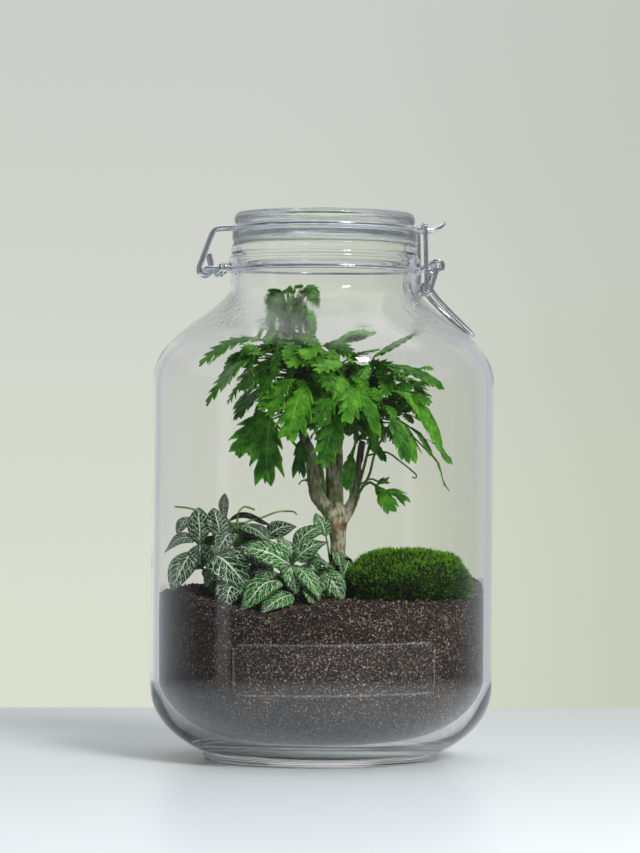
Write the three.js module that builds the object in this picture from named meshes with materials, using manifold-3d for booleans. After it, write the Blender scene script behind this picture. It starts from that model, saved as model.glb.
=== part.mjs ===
// Glass plant terrarium: a round clip-top glass jar planted with a small lobed-leaf tree, white-veined
// nerve plants and a moss cushion. Millimetres, Z up. The jar stands on z = 0 with its axis on Z, its
// hinge at -X and its clasp at +X. The jar is closed and latched.
import * as THREE from 'three';
import { mergeVertices } from 'three/addons/utils/BufferGeometryUtils.js';
import Module from 'manifold-3d';

const wasm = await Module();
wasm.setup();

// Driving dimensions of the jar
const JAR_RADIUS = 92;
const FOOT_RADIUS = 62.5;
const FOOT_INNER_RADIUS = 56;
const WALL_LOW = 40;
const WALL_TOP = 202;
const SHOULDER_RADIUS = 75;
const SHOULDER_HEIGHT = 230.4;
const NECK_RADIUS = 50.2;
const BEAD_RADIUS = 51.8;
const BEAD_HEIGHT = 266.9;
const MOUTH_RADIUS = 45.6;
const MOUTH_TOP = 276.2;
const GLASS = 4;
const INSIDE = JAR_RADIUS - GLASS;
const FLOOR_TOP = 9.2;
const ROUND_SIDES = 32;
const GAP = 0.3;

// Driving dimensions of the lid and its seal
const SEAL_BOTTOM = MOUTH_TOP + GAP;
const SEAL_TOP = 278;
const FLANGE_RADIUS = 49.9;
const FLANGE_BOTTOM = SEAL_TOP + GAP;
const FLANGE_TOP = 283.2;
const LID_GROOVE_RADIUS = 47.4;
const LID_DISC_RADIUS = 48.8;
const LID_TOP = 293.5;

// Driving dimensions of the wire closure
const WIRE = 1.25;
const WIRE_SIDES = 6;
const BAND_RADIUS = 51.9;
const BAND_HEIGHT = 262.5;
const BAIL_RADIUS = 49.3;
const BAIL_HEIGHT = 285;
const HINGE = { x: -64.3, z: BAND_HEIGHT };
const HINGE_LEG_Y = 12;
const HOOK_Y = 6.5;
const HOOK_RADIUS = 3.2;
const EYE = { x: 60.3, z: 265.5 };
const EYE_Y = 10.05;
const EYE_RADIUS = 2.9;
const LEVER_Y = 12.9;
const COIL = { x: 53.8, z: 252.8 };
const COIL_RADIUS = 2.7;
const LINK_X = 52.8;
const LINK_Y = 15.75;
const LINK_TOP = BAIL_HEIGHT + 2 * WIRE + GAP;
const NOSE_Y = 7;
const CORNER = 2.8;

// Driving dimensions of the planting, which is turned a little against the closure
const PLANTING_TURN = THREE.MathUtils.degToRad(-5.5);
const SOIL_CLEARANCE = 0.35;
const SOIL_LEVEL = 88;
const SOIL_RINGS = 7;
const MOSS = { x: 45.5, y: -30, halfWidth: 34, halfDepth: 27, base: 86.3, height: 27.5, sides: 28 };
const CROWN_AXIS = { x: 3, y: 8 };
const PETIOLE = 0.65;
const BLADE_HALF_THICK = 0.42;
const EDGE_HALF_THICK = 0.32;
const TRUNK_FOOT = 72;

const MATERIALS = {
  glass: new THREE.MeshStandardMaterial({ color: 0xdfe6e8, roughness: 0.03, metalness: 0 }),
  seal: new THREE.MeshStandardMaterial({ color: 0xe4e6e4, roughness: 0.45, metalness: 0 }),
  wire: new THREE.MeshStandardMaterial({ color: 0xb9bcc0, roughness: 0.25, metalness: 1 }),
  soil: new THREE.MeshStandardMaterial({ color: 0x3a302b, roughness: 0.95, metalness: 0 }),
  bark: new THREE.MeshStandardMaterial({ color: 0x8a8068, roughness: 0.85, metalness: 0 }),
  leaf: new THREE.MeshStandardMaterial({ color: 0x3f8a2a, roughness: 0.4, metalness: 0 }),
  veined: new THREE.MeshStandardMaterial({ color: 0x3c6b46, roughness: 0.5, metalness: 0 }),
  moss: new THREE.MeshStandardMaterial({ color: 0x326e1e, roughness: 0.95, metalness: 0 }),
};

// Solid helpers: a closed geometry becomes a solid, solids are joined or cut, and come back as geometry
function signedVolume(geometry) {
  const at = geometry.getAttribute('position');
  const index = geometry.getIndex();
  const [a, b, c] = [new THREE.Vector3(), new THREE.Vector3(), new THREE.Vector3()];
  let volume = 0;
  for (let i = 0; i < index.count; i += 3) {
    a.fromBufferAttribute(at, index.getX(i));
    b.fromBufferAttribute(at, index.getX(i + 1));
    c.fromBufferAttribute(at, index.getX(i + 2));
    volume += a.dot(b.cross(c)) / 6;
  }
  return volume;
}

function closed(geometry) {
  geometry.deleteAttribute('normal');
  geometry.deleteAttribute('uv');
  const merged = mergeVertices(geometry, 1e-4);
  const corners = merged.getIndex().array;
  const kept = [];
  for (let i = 0; i < corners.length; i += 3) {
    const [p, q, r] = [corners[i], corners[i + 1], corners[i + 2]];
    if (p !== q && q !== r && r !== p) {
      kept.push(p, q, r);
    }
  }
  merged.setIndex(kept);
  if (signedVolume(merged) < 0) {
    merged.setIndex(kept.reverse());
  }
  return merged;
}

function solid(geometry) {
  const shape = closed(geometry);
  return new wasm.Manifold(new wasm.Mesh({
    numProp: 3,
    vertProperties: new Float32Array(shape.getAttribute('position').array),
    triVerts: new Uint32Array(shape.getIndex().array),
  }));
}

function joined(solids) {
  return solids.reduce((whole, piece) => whole.add(piece));
}

function geometryOf(body) {
  const mesh = body.getMesh();
  const geometry = new THREE.BufferGeometry();
  geometry.setAttribute('position', new THREE.BufferAttribute(new Float32Array(mesh.vertProperties), 3));
  geometry.setIndex(new THREE.BufferAttribute(new Uint32Array(mesh.triVerts), 1));
  return geometry;
}

function part(name, body, material) {
  const mesh = new THREE.Mesh(geometryOf(body), material);
  mesh.name = name;
  return mesh;
}

function vec(x, y, z) {
  return new THREE.Vector3(x, y, z);
}

// A profile of [radius, height] points turned round the Z axis
function turned(profile, sides = ROUND_SIDES) {
  const points = profile.map(([radius, height]) => new THREE.Vector2(Math.max(radius, 0), height));
  return new THREE.LatheGeometry(points, sides).rotateX(Math.PI / 2);
}

// Wires: a route is a list of points, and the sections of a wire lie at exactly those points
class Route extends THREE.Curve {
  constructor(points) {
    super();
    this.points = points;
  }

  getPoint(t, target = new THREE.Vector3()) {
    const place = t * (this.points.length - 1);
    const from = Math.min(Math.floor(place + 1e-9), this.points.length - 2);
    return target.lerpVectors(this.points[from], this.points[from + 1], place - from);
  }

  getPointAt(t, target) {
    return this.getPoint(t, target);
  }

  getSpacedPoints(count) {
    return this.getPoints(count);
  }

  getTangent(t, target = new THREE.Vector3()) {
    const last = this.points.length - 1;
    const place = Math.round(t * last);
    const before = this.points[Math.max(place - 1, 0)];
    const after = this.points[Math.min(place + 1, last)];
    return target.subVectors(after, before).normalize();
  }

  getTangentAt(t, target) {
    return this.getTangent(t, target);
  }
}

// The points of a route whose inner corners are rounded to a radius
function rounded(points, radius, divisions = 3) {
  const route = [points[0]];
  for (let i = 1; i < points.length - 1; i += 1) {
    const [before, corner, after] = [points[i - 1], points[i], points[i + 1]];
    const reach = Math.min(radius, corner.distanceTo(before) * 0.45, corner.distanceTo(after) * 0.45);
    const from = corner.clone().add(before.clone().sub(corner).setLength(reach));
    const to = corner.clone().add(after.clone().sub(corner).setLength(reach));
    route.push(...new THREE.QuadraticBezierCurve3(from, corner, to).getPoints(divisions));
  }
  route.push(points.at(-1));
  return route;
}

function disc(radius, sides) {
  const corners = [];
  for (let i = 0; i < sides; i += 1) {
    const angle = (2 * Math.PI * i) / sides;
    corners.push(new THREE.Vector2(radius * Math.cos(angle), radius * Math.sin(angle)));
  }
  return new THREE.Shape(corners);
}

function wire(points, radius = WIRE, sides = WIRE_SIDES) {
  const route = new Route(points);
  return solid(new THREE.ExtrudeGeometry(disc(radius, sides), {
    steps: points.length - 1,
    bevelEnabled: false,
    extrudePath: route,
  }));
}

// Points on a circle in the plane y = constant, from one angle to another, in degrees
function arcXZ(centre, y, radius, from, to, steps) {
  const points = [];
  for (let i = 0; i <= steps; i += 1) {
    const angle = THREE.MathUtils.degToRad(from + ((to - from) * i) / steps);
    points.push(vec(centre.x + radius * Math.cos(angle), y, centre.z + radius * Math.sin(angle)));
  }
  return points;
}

// Points on a level circle round the jar's axis
function arcXY(radius, z, from, to, steps) {
  const points = [];
  for (let i = 0; i <= steps; i += 1) {
    const angle = THREE.MathUtils.degToRad(from + ((to - from) * i) / steps);
    points.push(vec(radius * Math.cos(angle), radius * Math.sin(angle), z));
  }
  return points;
}

function bezier(from, control1, control2, to, divisions) {
  const ends = [from, control1, control2, to].map(([x, y]) => new THREE.Vector2(x, y));
  return new THREE.CubicBezierCurve(...ends).getPoints(divisions).map((point) => [point.x, point.y]);
}

// Jar glass: foot ring, rounded lower corner, straight wall, shoulder, neck with a bead, open mouth
function jarOutside() {
  return [
    [0, 3.4],
    [FOOT_INNER_RADIUS - 6, 2.6],
    [FOOT_INNER_RADIUS, 0],
    [FOOT_RADIUS, 0],
    ...bezier([64.8, 4.4], [80.7, 12.1], [JAR_RADIUS, 23], [JAR_RADIUS, WALL_LOW], 4),
    ...bezier([JAR_RADIUS, WALL_TOP], [JAR_RADIUS, 214], [84.5, 223], [SHOULDER_RADIUS, SHOULDER_HEIGHT], 3),
    ...bezier([SHOULDER_RADIUS, SHOULDER_HEIGHT], [63, 239.7], [51.5, 246.5], [50.4, 253], 3).slice(1),
    [NECK_RADIUS, BEAD_HEIGHT - 3],
    [BEAD_RADIUS, BEAD_HEIGHT - 1],
    [BEAD_RADIUS, BEAD_HEIGHT + 1],
    [NECK_RADIUS, BEAD_HEIGHT + 3],
    [NECK_RADIUS, MOUTH_TOP - 1.2],
    [NECK_RADIUS - 1, MOUTH_TOP],
  ];
}

function jarInsideCorner() {
  return bezier([60, 10.4], [74, 14.6], [INSIDE, 26], [INSIDE, 42], 3);
}

function jarInside() {
  return [
    [MOUTH_RADIUS + 0.8, MOUTH_TOP],
    [MOUTH_RADIUS, MOUTH_TOP - 1],
    ...bezier([MOUTH_RADIUS, 252], [46.5, 243.5], [60, 235.6], [72.2, 227.2], 2),
    ...bezier([72.2, 227.2], [81, 220.8], [INSIDE, 213], [INSIDE, 201], 3).slice(1),
    ...jarInsideCorner().reverse(),
    [0, FLOOR_TOP],
  ];
}

function makeJarGlass() {
  return solid(turned([...jarOutside(), ...jarInside()]));
}

// Lid: a flange that sits on the seal, a groove for the bail wire and a disc with a raised stacking ring
function makeLid() {
  return solid(turned([
    [0, FLANGE_BOTTOM + 2.2],
    [42, FLANGE_BOTTOM + 2],
    [43.6, FLANGE_BOTTOM],
    [FLANGE_RADIUS, FLANGE_BOTTOM],
    [FLANGE_RADIUS, FLANGE_TOP],
    [LID_GROOVE_RADIUS, FLANGE_TOP],
    [LID_GROOVE_RADIUS, BAIL_HEIGHT + WIRE + 0.5],
    [LID_DISC_RADIUS, 288],
    [LID_DISC_RADIUS, 291],
    [46.6, LID_TOP],
    [41, LID_TOP],
    [39, 290.6],
    [0, 290.6],
  ]));
}

function makeSeal() {
  return solid(turned([
    [44.2, SEAL_BOTTOM],
    [49.2, SEAL_BOTTOM],
    [49.2, SEAL_TOP],
    [44.2, SEAL_TOP],
    [44.2, SEAL_BOTTOM],
  ]));
}

// Neck band: a ring in the neck's groove, a projecting loop for the hinge and an eye each side of the clasp
function makeNeckBand() {
  const pieces = [
    solid(new THREE.TorusGeometry(BAND_RADIUS, WIRE, WIRE_SIDES, ROUND_SIDES).translate(0, 0, BAND_HEIGHT)),
  ];
  const root = -Math.sqrt(BAND_RADIUS ** 2 - HINGE_LEG_Y ** 2);
  pieces.push(wire(rounded([
    vec(root, -HINGE_LEG_Y, BAND_HEIGHT),
    vec(HINGE.x, -HINGE_LEG_Y, BAND_HEIGHT),
    vec(HINGE.x, HINGE_LEG_Y, BAND_HEIGHT),
    vec(root, HINGE_LEG_Y, BAND_HEIGHT),
  ], CORNER)));
  for (const side of [-1, 1]) {
    for (const x of [-54.6, -57]) {
      const wrap = new THREE.TorusGeometry(2, WIRE, 5, 8).rotateY(Math.PI / 2);
      pieces.push(solid(wrap.translate(x, side * HINGE_LEG_Y, BAND_HEIGHT)));
    }
    const eyeRoot = Math.sqrt(BAND_RADIUS ** 2 - EYE_Y ** 2);
    pieces.push(wire([
      vec(eyeRoot - 0.4, side * EYE_Y, BAND_HEIGHT),
      vec(eyeRoot + 3, side * EYE_Y, BAND_HEIGHT + 2.2),
      ...arcXZ(EYE, side * EYE_Y, EYE_RADIUS, 126, -150, 8),
    ]));
  }
  return joined(pieces);
}

// Lid bail: half a ring each way round the lid, from a hook on the hinge loop to a nose at the clasp
function makeLidBail() {
  const halfRoute = (side) => {
    const hookTurn = (180 / Math.PI) * Math.asin(HOOK_Y / BAIL_RADIUS);
    const noseTurn = (180 / Math.PI) * Math.asin(NOSE_Y / BAIL_RADIUS);
    return [
      vec(HINGE.x + 1.7, side * HOOK_Y, HINGE.z + 8),
      vec(HINGE.x + 3, side * HOOK_Y, HINGE.z + 3),
      ...arcXZ(HINGE, side * HOOK_Y, HOOK_RADIUS, -10, -180, 6),
      ...rounded([
        vec(HINGE.x - HOOK_RADIUS, side * HOOK_Y, HINGE.z + 1.5),
        vec(-60, side * HOOK_Y, BAIL_HEIGHT - 0.7),
        vec(-52.5, side * HOOK_Y, BAIL_HEIGHT),
      ], 6),
      ...arcXY(BAIL_RADIUS, BAIL_HEIGHT, side * (180 - hookTurn), side * (noseTurn + 1), 13),
      vec(51.5, side * NOSE_Y, BAIL_HEIGHT - 0.1),
      vec(58, side * (NOSE_Y - 0.6), BAIL_HEIGHT),
      vec(62, side * (NOSE_Y - 2), BAIL_HEIGHT + 1.6),
      vec(64.4, side * (NOSE_Y - 4.4), BAIL_HEIGHT + 3.6),
    ];
  };
  return wire([...halfRoute(-1), ...halfRoute(1).reverse()]);
}

// Link: the wire loop that hangs on the nose and ends beside the lever's coils
function makeLink() {
  return wire(rounded([
    vec(COIL.x, -LINK_Y, COIL.z - 0.6),
    vec(LINK_X, -LINK_Y, LINK_TOP),
    vec(LINK_X, LINK_Y, LINK_TOP),
    vec(COIL.x, LINK_Y, COIL.z - 0.6),
  ], CORNER));
}

// Lever: pivot pins in the eyes, a coil each side, and a thumb loop that lies over the shoulder
function makeLever() {
  const legRoute = (side) => [
    vec(COIL.x + COIL_RADIUS - 0.2, side * LEVER_Y, COIL.z + 0.6),
    vec(58.4, side * LEVER_Y, 249.8),
    vec(63.2, side * (LEVER_Y - 0.4), 244.6),
    vec(69, side * (LEVER_Y - 1.6), 239),
    vec(74.8, side * (LEVER_Y - 4), 233.8),
    vec(79.2, side * (LEVER_Y - 6.6), 230.1),
    vec(80.7, side * (LEVER_Y - 9.8), 228.8),
  ];
  const pieces = [wire([...legRoute(-1), ...legRoute(1).reverse()])];
  for (const side of [-1, 1]) {
    pieces.push(wire(rounded([
      vec(EYE.x, side * (EYE_Y - 2), EYE.z),
      vec(EYE.x, side * LEVER_Y, EYE.z),
      vec(COIL.x + COIL_RADIUS, side * LEVER_Y, COIL.z + 0.2),
    ], 2)));
    const coil = new THREE.TorusGeometry(COIL_RADIUS, WIRE, WIRE_SIDES, 10).rotateX(Math.PI / 2);
    pieces.push(solid(coil.translate(COIL.x, side * LEVER_Y, COIL.z)));
  }
  return joined(pieces);
}

// Soil: fills the jar's lower part, with gentle mounds and a dip at the front where leaves hang down
function bump(x, y, centreX, centreY, spread) {
  return Math.exp(-((x - centreX) ** 2 + (y - centreY) ** 2) / (2 * spread ** 2));
}

function soilHeight(x, y) {
  const mounds = 9 * bump(x, y, 78, 14, 20) + 5 * bump(x, y, -45, 30, 26) + 2.5 * bump(x, y, 9, 10, 18);
  const dips = 8 * bump(x, y, -34, -80, 20) + 1.5 * bump(x, y, 40, -60, 25);
  const grain = 0.5 * Math.sin(x * 0.31 + 1.3) * Math.cos(y * 0.27) + 0.35 * Math.sin(x * 0.17 - y * 0.41);
  return SOIL_LEVEL + mounds - dips + grain;
}

function makeSoil(holes) {
  const edge = INSIDE - SOIL_CLEARANCE;
  const side = jarInsideCorner().map(([radius, height]) => [radius - SOIL_CLEARANCE, height + SOIL_CLEARANCE]);
  const profile = [[0, FLOOR_TOP + SOIL_CLEARANCE], ...side, [edge, SOIL_LEVEL]];
  for (let ring = SOIL_RINGS - 1; ring >= 0; ring -= 1) {
    profile.push([(edge * ring) / SOIL_RINGS, SOIL_LEVEL]);
  }
  const geometry = turned(profile);
  const at = geometry.getAttribute('position');
  const place = new THREE.Vector3();
  for (let i = 0; i < at.count; i += 1) {
    place.fromBufferAttribute(at, i);
    if (place.z > SOIL_LEVEL - 1) {
      place.applyAxisAngle(vec(0, 0, 1), -PLANTING_TURN);
      at.setZ(i, soilHeight(place.x, place.y));
    }
  }
  return holes.reduce((soil, hole) => soil.subtract(hole), solid(geometry));
}

// Moss cushion: a low dome with a lumpy surface, on a level seat in the soil
function makeMossShape(grown) {
  const outline = [[0, 0], [0.86, 0], [0.97, 0.12], [1, 0.32], [0.93, 0.6], [0.74, 0.84], [0.42, 0.97], [0, 1]];
  const geometry = turned(outline, MOSS.sides);
  const at = geometry.getAttribute('position');
  for (let i = 0; i < at.count; i += 1) {
    const [u, v, w] = [at.getX(i), at.getY(i), at.getZ(i)];
    const lump = 1 + (grown > 0 ? 0 : 0.018 * Math.sin(7 * u + 2) * Math.cos(6 * v - 1) * Math.min(w * 3, 1));
    at.setXYZ(
      i,
      MOSS.x + u * (MOSS.halfWidth + grown) * lump,
      MOSS.y + v * (MOSS.halfDepth + grown) * lump,
      MOSS.base - grown + w * (MOSS.height + 2 * grown) * lump,
    );
  }
  return solid(geometry);
}

// A woody stem: rings of given radius along a route of points, as one tapered tube
function stem(stations, sides = 8, grown = 0) {
  const points = stations.map(([x, y, z]) => vec(x, y, z));
  const route = new Route(points);
  const geometry = new THREE.ExtrudeGeometry(disc(1, sides), {
    steps: points.length - 1,
    bevelEnabled: false,
    extrudePath: route,
  });
  const at = geometry.getAttribute('position');
  const corner = new THREE.Vector3();
  for (let i = 0; i < at.count; i += 1) {
    corner.fromBufferAttribute(at, i);
    const nearest = points.reduce((best, point, k) => {
      const offset = Math.abs(corner.distanceTo(point) - 1);
      return offset < best.offset ? { offset, k } : best;
    }, { offset: Infinity, k: 0 });
    const middle = points[nearest.k];
    const radius = stations[nearest.k][3] + grown;
    corner.sub(middle).multiplyScalar(radius).add(middle);
    at.setXYZ(i, corner.x, corner.y, corner.z);
  }
  return solid(geometry);
}

// Woody stations: x, y, z and radius
const TRUNK = [
  [9.6, 10, TRUNK_FOOT, 3.4],
  [9.5, 10, 84, 4.3],
  [9.3, 10, 92, 5.6],
  [9.1, 10, 97, 4.6],
  [8.8, 10, 110, 4.2],
  [8.4, 10, 120, 4.5],
  [8, 10, 124.5, 5.6],
  [7.4, 10, 131, 6],
  [6.8, 11, 138, 4.9],
];
const CUT_STUMP = [
  [7.2, 11, 134, 4.6],
  [6.6, 12.6, 145, 4.9],
  [6.2, 13.4, 160, 4.7],
  [6.4, 13.8, 176, 4.5],
  [6.8, 13.8, 190, 4.4],
];
const LEFT_WOOD = [
  [7, 10, 129, 4],
  [2.2, 9.2, 134.5, 4],
  [-3, 8.4, 140, 3.7],
  [-5.6, 7.4, 148, 3.2],
  [-6.4, 6.4, 157, 3],
  [-8.6, 5.4, 166, 2.5],
  [-11.6, 4.6, 175, 2.2],
];
const RIGHT_WOOD = [
  [9.6, 10, 127, 3.4],
  [14, 9.2, 132.5, 3.1],
  [17.2, 8.6, 140, 2.6],
  [18.8, 8.2, 151, 2.2],
  [20, 8, 162, 2],
  [21.6, 8, 171, 1.9],
];
const LEFT_TOP = [-18.4, 3, 232];
const RIGHT_TOP = [26, 8.4, 208];
const BACK_TOP = [8.4, 13, 216];

function makeTrunk() {
  const snag = wire([vec(-5, 7, 147.5), vec(-9, 6, 149.8), vec(-11.6, 5.6, 149.2), vec(-12.4, 5.4, 147)], 0.6, 5);
  return joined([stem(TRUNK, 10), stem(CUT_STUMP), stem(LEFT_WOOD), stem(RIGHT_WOOD), snag]);
}

function makeTrunkHole() {
  return stem(TRUNK.slice(0, 4).map(([x, y, z, radius], k) => [x, y, k === 0 ? z - GAP : z, radius]), 10, GAP);
}

// Blades: a thin leaf along an arched spine, as stations of half-width and forward sweep, both per side
function lobedOutline(lobes, skew) {
  const stations = [{ s: 0, left: 0.1, right: 0.1, sweep: 0 }];
  for (let k = 0; k < lobes; k += 1) {
    const swell = 0.62 + 0.55 * Math.sin((Math.PI * (k + 0.9)) / (lobes + 0.6)) - 0.3 * (k / lobes);
    const peak = (k + 0.62) / (lobes + 0.45);
    const sinus = (k + 1.12) / (lobes + 0.45);
    stations.push({ s: peak, left: swell * (1 + skew), right: swell * (1 - skew), sweep: 0.06 });
    stations.push({ s: sinus, left: 0.26 * swell, right: 0.29 * swell, sweep: 0 });
  }
  stations.push({ s: 1, left: 0.05, right: 0.05, sweep: 0 });
  return stations;
}

function ovalOutline() {
  return [
    { s: 0, left: 0.12, right: 0.12, sweep: 0 },
    { s: 0.15, left: 0.66, right: 0.66, sweep: -0.03 },
    { s: 0.42, left: 1, right: 1, sweep: 0 },
    { s: 0.68, left: 0.84, right: 0.84, sweep: 0.02 },
    { s: 0.9, left: 0.36, right: 0.36, sweep: 0.01 },
    { s: 1, left: 0.08, right: 0.08, sweep: 0 },
  ];
}

// One leaf as one loft: a slim petiole from its root on the stem, then the blade to its tip
function leafSolid({ from, base, tip, width, arch, facing, roll, outline, fold }) {
  const rise = from.clone().lerp(base, 0.55).add(vec(0, 0, from.distanceTo(base) * 0.12));
  const stalk = new THREE.QuadraticBezierCurve3(from, rise, base);
  const control = base.clone().add(tip).multiplyScalar(0.5).add(vec(0, 0, arch)).addScaledVector(facing, arch * 0.4);
  const spine = new THREE.QuadraticBezierCurve3(base, control, tip);
  const reach = base.distanceTo(tip);
  const corners = [];
  const frameAt = (curve, share) => {
    const middle = curve.getPoint(share);
    const along = curve.getTangent(share);
    const across = along.clone().cross(facing).normalize().applyAxisAngle(along, roll);
    const normal = across.clone().cross(along).normalize();
    return { middle, along, across, normal };
  };
  for (const share of [0, 0.94]) {
    const { middle, across, normal } = frameAt(stalk, share);
    for (const turn of [150, 90, 30, -30, -90, -150]) {
      const angle = THREE.MathUtils.degToRad(turn);
      corners.push(middle.clone()
        .addScaledVector(across, PETIOLE * Math.cos(angle))
        .addScaledVector(normal, PETIOLE * Math.sin(angle)));
    }
  }
  for (const { s, left, right, sweep } of outline) {
    const { middle, along, across, normal } = frameAt(spine, s);
    const edge = (side, share) => middle.clone()
      .addScaledVector(across, side * share * width)
      .addScaledVector(along, sweep * reach)
      .addScaledVector(normal, fold * share * width);
    const [leftEdge, rightEdge] = [edge(-1, left), edge(1, right)];
    corners.push(
      leftEdge.clone().addScaledVector(normal, EDGE_HALF_THICK),
      middle.clone().addScaledVector(normal, BLADE_HALF_THICK),
      rightEdge.clone().addScaledVector(normal, EDGE_HALF_THICK),
      rightEdge.clone().addScaledVector(normal, -EDGE_HALF_THICK),
      middle.clone().addScaledVector(normal, -BLADE_HALF_THICK),
      leftEdge.clone().addScaledVector(normal, -EDGE_HALF_THICK),
    );
  }
  return lofted(corners, 6);
}

// A solid through rings of the same number of corners, closed flat at both ends
function lofted(corners, count) {
  const rings = corners.length / count;
  const faces = [];
  for (let ring = 0; ring < rings - 1; ring += 1) {
    for (let k = 0; k < count; k += 1) {
      const [a, b] = [ring * count + k, ring * count + ((k + 1) % count)];
      const [c, d] = [a + count, b + count];
      // The split is mirrored between the upper and lower face, so that they run alike and never cross
      const upper = k < count / 2;
      faces.push(...(upper ? [a, b, d, a, d, c] : [a, b, c, b, d, c]));
    }
  }
  for (let k = 1; k < count - 1; k += 1) {
    const top = (rings - 1) * count;
    faces.push(0, k + 1, k);
    faces.push(top, top + k, top + k + 1);
  }
  const geometry = new THREE.BufferGeometry();
  geometry.setAttribute('position', new THREE.Float32BufferAttribute(corners.flatMap((p) => [p.x, p.y, p.z]), 3));
  geometry.setIndex(faces);
  return solid(geometry);
}

// Leaves of the tree, each on a leafy stem: height of its root on the stem, base and tip of its blade,
// half-width, arch, number of lobe pairs and roll in degrees
const LEFT_LEAVES = [
  { root: 219, base: [-33, -5, 224], tip: [-62, -16, 190], width: 10, arch: 8, lobes: 3, roll: 0 },
  { root: 221, base: [-35, 5, 229], tip: [-67, 2, 212], width: 8.5, arch: 7, lobes: 3, roll: -15 },
  { root: 217, base: [-37, 16, 223], tip: [-57, 24, 203], width: 8, arch: 7, lobes: 3, roll: 0 },
  { root: 213, base: [-34, -14, 218], tip: [-41, -24, 194], width: 7.5, arch: 4, lobes: 3, roll: 20 },
  { root: 206, base: [-24, -16, 209], tip: [-36, -31, 191], width: 8, arch: 4, lobes: 3, roll: 10 },
  { root: 200, base: [-17, -20, 204], tip: [-28, -38, 183], width: 8, arch: 4, lobes: 3, roll: 0 },
  { root: 186, base: [-26, -6, 183], tip: [-28, -22, 147], width: 14, arch: 5, lobes: 4, roll: -10 },
  { root: 188, base: [-30, -1, 187], tip: [-47, -8, 161], width: 9, arch: 6, lobes: 3, roll: 0 },
  { root: 181, base: [-11, -7, 168], tip: [-12, -11, 151], width: 5.5, arch: 2, lobes: 2, roll: 0 },
  { root: 226, base: [-25, -6, 235], tip: [-46, -14, 233], width: 9, arch: 4, lobes: 3, roll: 0 },
  { root: 229, base: [-24, 8, 240], tip: [-37, 18, 240], width: 8, arch: 4, lobes: 3, roll: 0 },
  { root: 228, base: [-14, -5, 236], tip: [-5, -22, 231], width: 9, arch: 4, lobes: 3, roll: 0 },
  { root: 231, base: [-21, 2, 244], tip: [-33, -8, 253], width: 7.5, arch: 3, lobes: 3, roll: 0 },
  { root: 231, base: [-15, 5, 245], tip: [-3, 12, 254], width: 8, arch: 4, lobes: 3, roll: 0 },
  { root: 215, base: [-24, 20, 222], tip: [-38, 44, 201], width: 10, arch: 7, lobes: 3, roll: 0 },
  { root: 222, base: [-14, 20, 229], tip: [-12, 46, 218], width: 9, arch: 7, lobes: 3, roll: 0 },
  { root: 196, base: [-24, 16, 203], tip: [-48, 32, 182], width: 10, arch: 7, lobes: 3, roll: 0 },
  { root: 195, base: [-13, -25, 199], tip: [-19, -42, 170], width: 12, arch: 6, lobes: 4, roll: 0 },
];
const CENTRE_LEAVES = [
  { root: 205, base: [4, -21, 199], tip: [-3, -37, 178], width: 9, arch: 5, lobes: 3, roll: 0 },
  { root: 201, base: [8, -16, 187], tip: [0, -31, 156], width: 11, arch: 6, lobes: 4, roll: 0 },
  { root: 207, base: [16, -23, 199], tip: [13, -40, 181], width: 7.5, arch: 4, lobes: 2, roll: 0 },
  { root: 211, base: [1, -10, 221], tip: [-19, -28, 212], width: 9, arch: 4, lobes: 3, roll: 0 },
  { root: 210, base: [10, -12, 215], tip: [-3, -36, 207], width: 10, arch: 4, lobes: 3, roll: 0 },
  { root: 214, base: [8, 4, 225], tip: [28, -3, 233], width: 8.5, arch: 3, lobes: 3, roll: 0 },
  { root: 212, base: [13, -4, 217], tip: [29, -20, 221], width: 7.5, arch: 3, lobes: 3, roll: 0 },
  { root: 213, base: [10, 28, 217], tip: [12, 58, 203], width: 10, arch: 7, lobes: 3, roll: 0 },
  { root: 206, base: [1, 28, 204], tip: [-12, 56, 186], width: 10, arch: 7, lobes: 3, roll: 0 },
  { root: 203, base: [12, 28, 194], tip: [19, 50, 170], width: 10, arch: 6, lobes: 3, roll: 0 },
];
const RIGHT_LEAVES = [
  { root: 205, base: [29, 2, 219], tip: [57, -5, 235], width: 10.5, arch: 1, lobes: 4, roll: 25 },
  { root: 204, base: [31, -6, 210], tip: [40, -18, 210], width: 5, arch: 2, lobes: 2, roll: 0 },
  { root: 202, base: [39, -4, 211], tip: [66, -10, 199], width: 11, arch: 5, lobes: 4, roll: 20 },
  { root: 196, base: [37, -10, 199], tip: [63, -22, 166], width: 11, arch: 13, lobes: 4, roll: 10 },
  { root: 190, base: [52, 2, 173], tip: [66, -3, 147], width: 5, arch: 4, lobes: 3, roll: 0 },
  { root: 192, base: [45, 6, 186], tip: [70, 6, 160], width: 7.5, arch: 8, lobes: 3, roll: 0 },
  { root: 188, base: [36, -20, 184], tip: [44, -36, 160], width: 10, arch: 5, lobes: 3, roll: 0 },
  { root: 194, base: [24, -18, 194], tip: [31, -35, 170], width: 9, arch: 5, lobes: 3, roll: 0 },
  { root: 180, base: [20, -9, 176], tip: [18, -18, 158], width: 7, arch: 3, lobes: 2, roll: 0 },
  { root: 200, base: [36, 20, 206], tip: [60, 34, 192], width: 10, arch: 7, lobes: 3, roll: 0 },
  { root: 190, base: [30, 24, 190], tip: [46, 46, 168], width: 10, arch: 7, lobes: 3, roll: 0 },
];
const SPRIG_LEAVES = [
  { root: 148.5, base: [30, 1, 146], tip: [34, -4, 133], width: 8, arch: 2, lobes: 2, roll: 0 },
  { root: 148.5, base: [31, 1.5, 146.5], tip: [43, 0, 137], width: 4, arch: 4, lobes: 2, roll: 0 },
];

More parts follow.
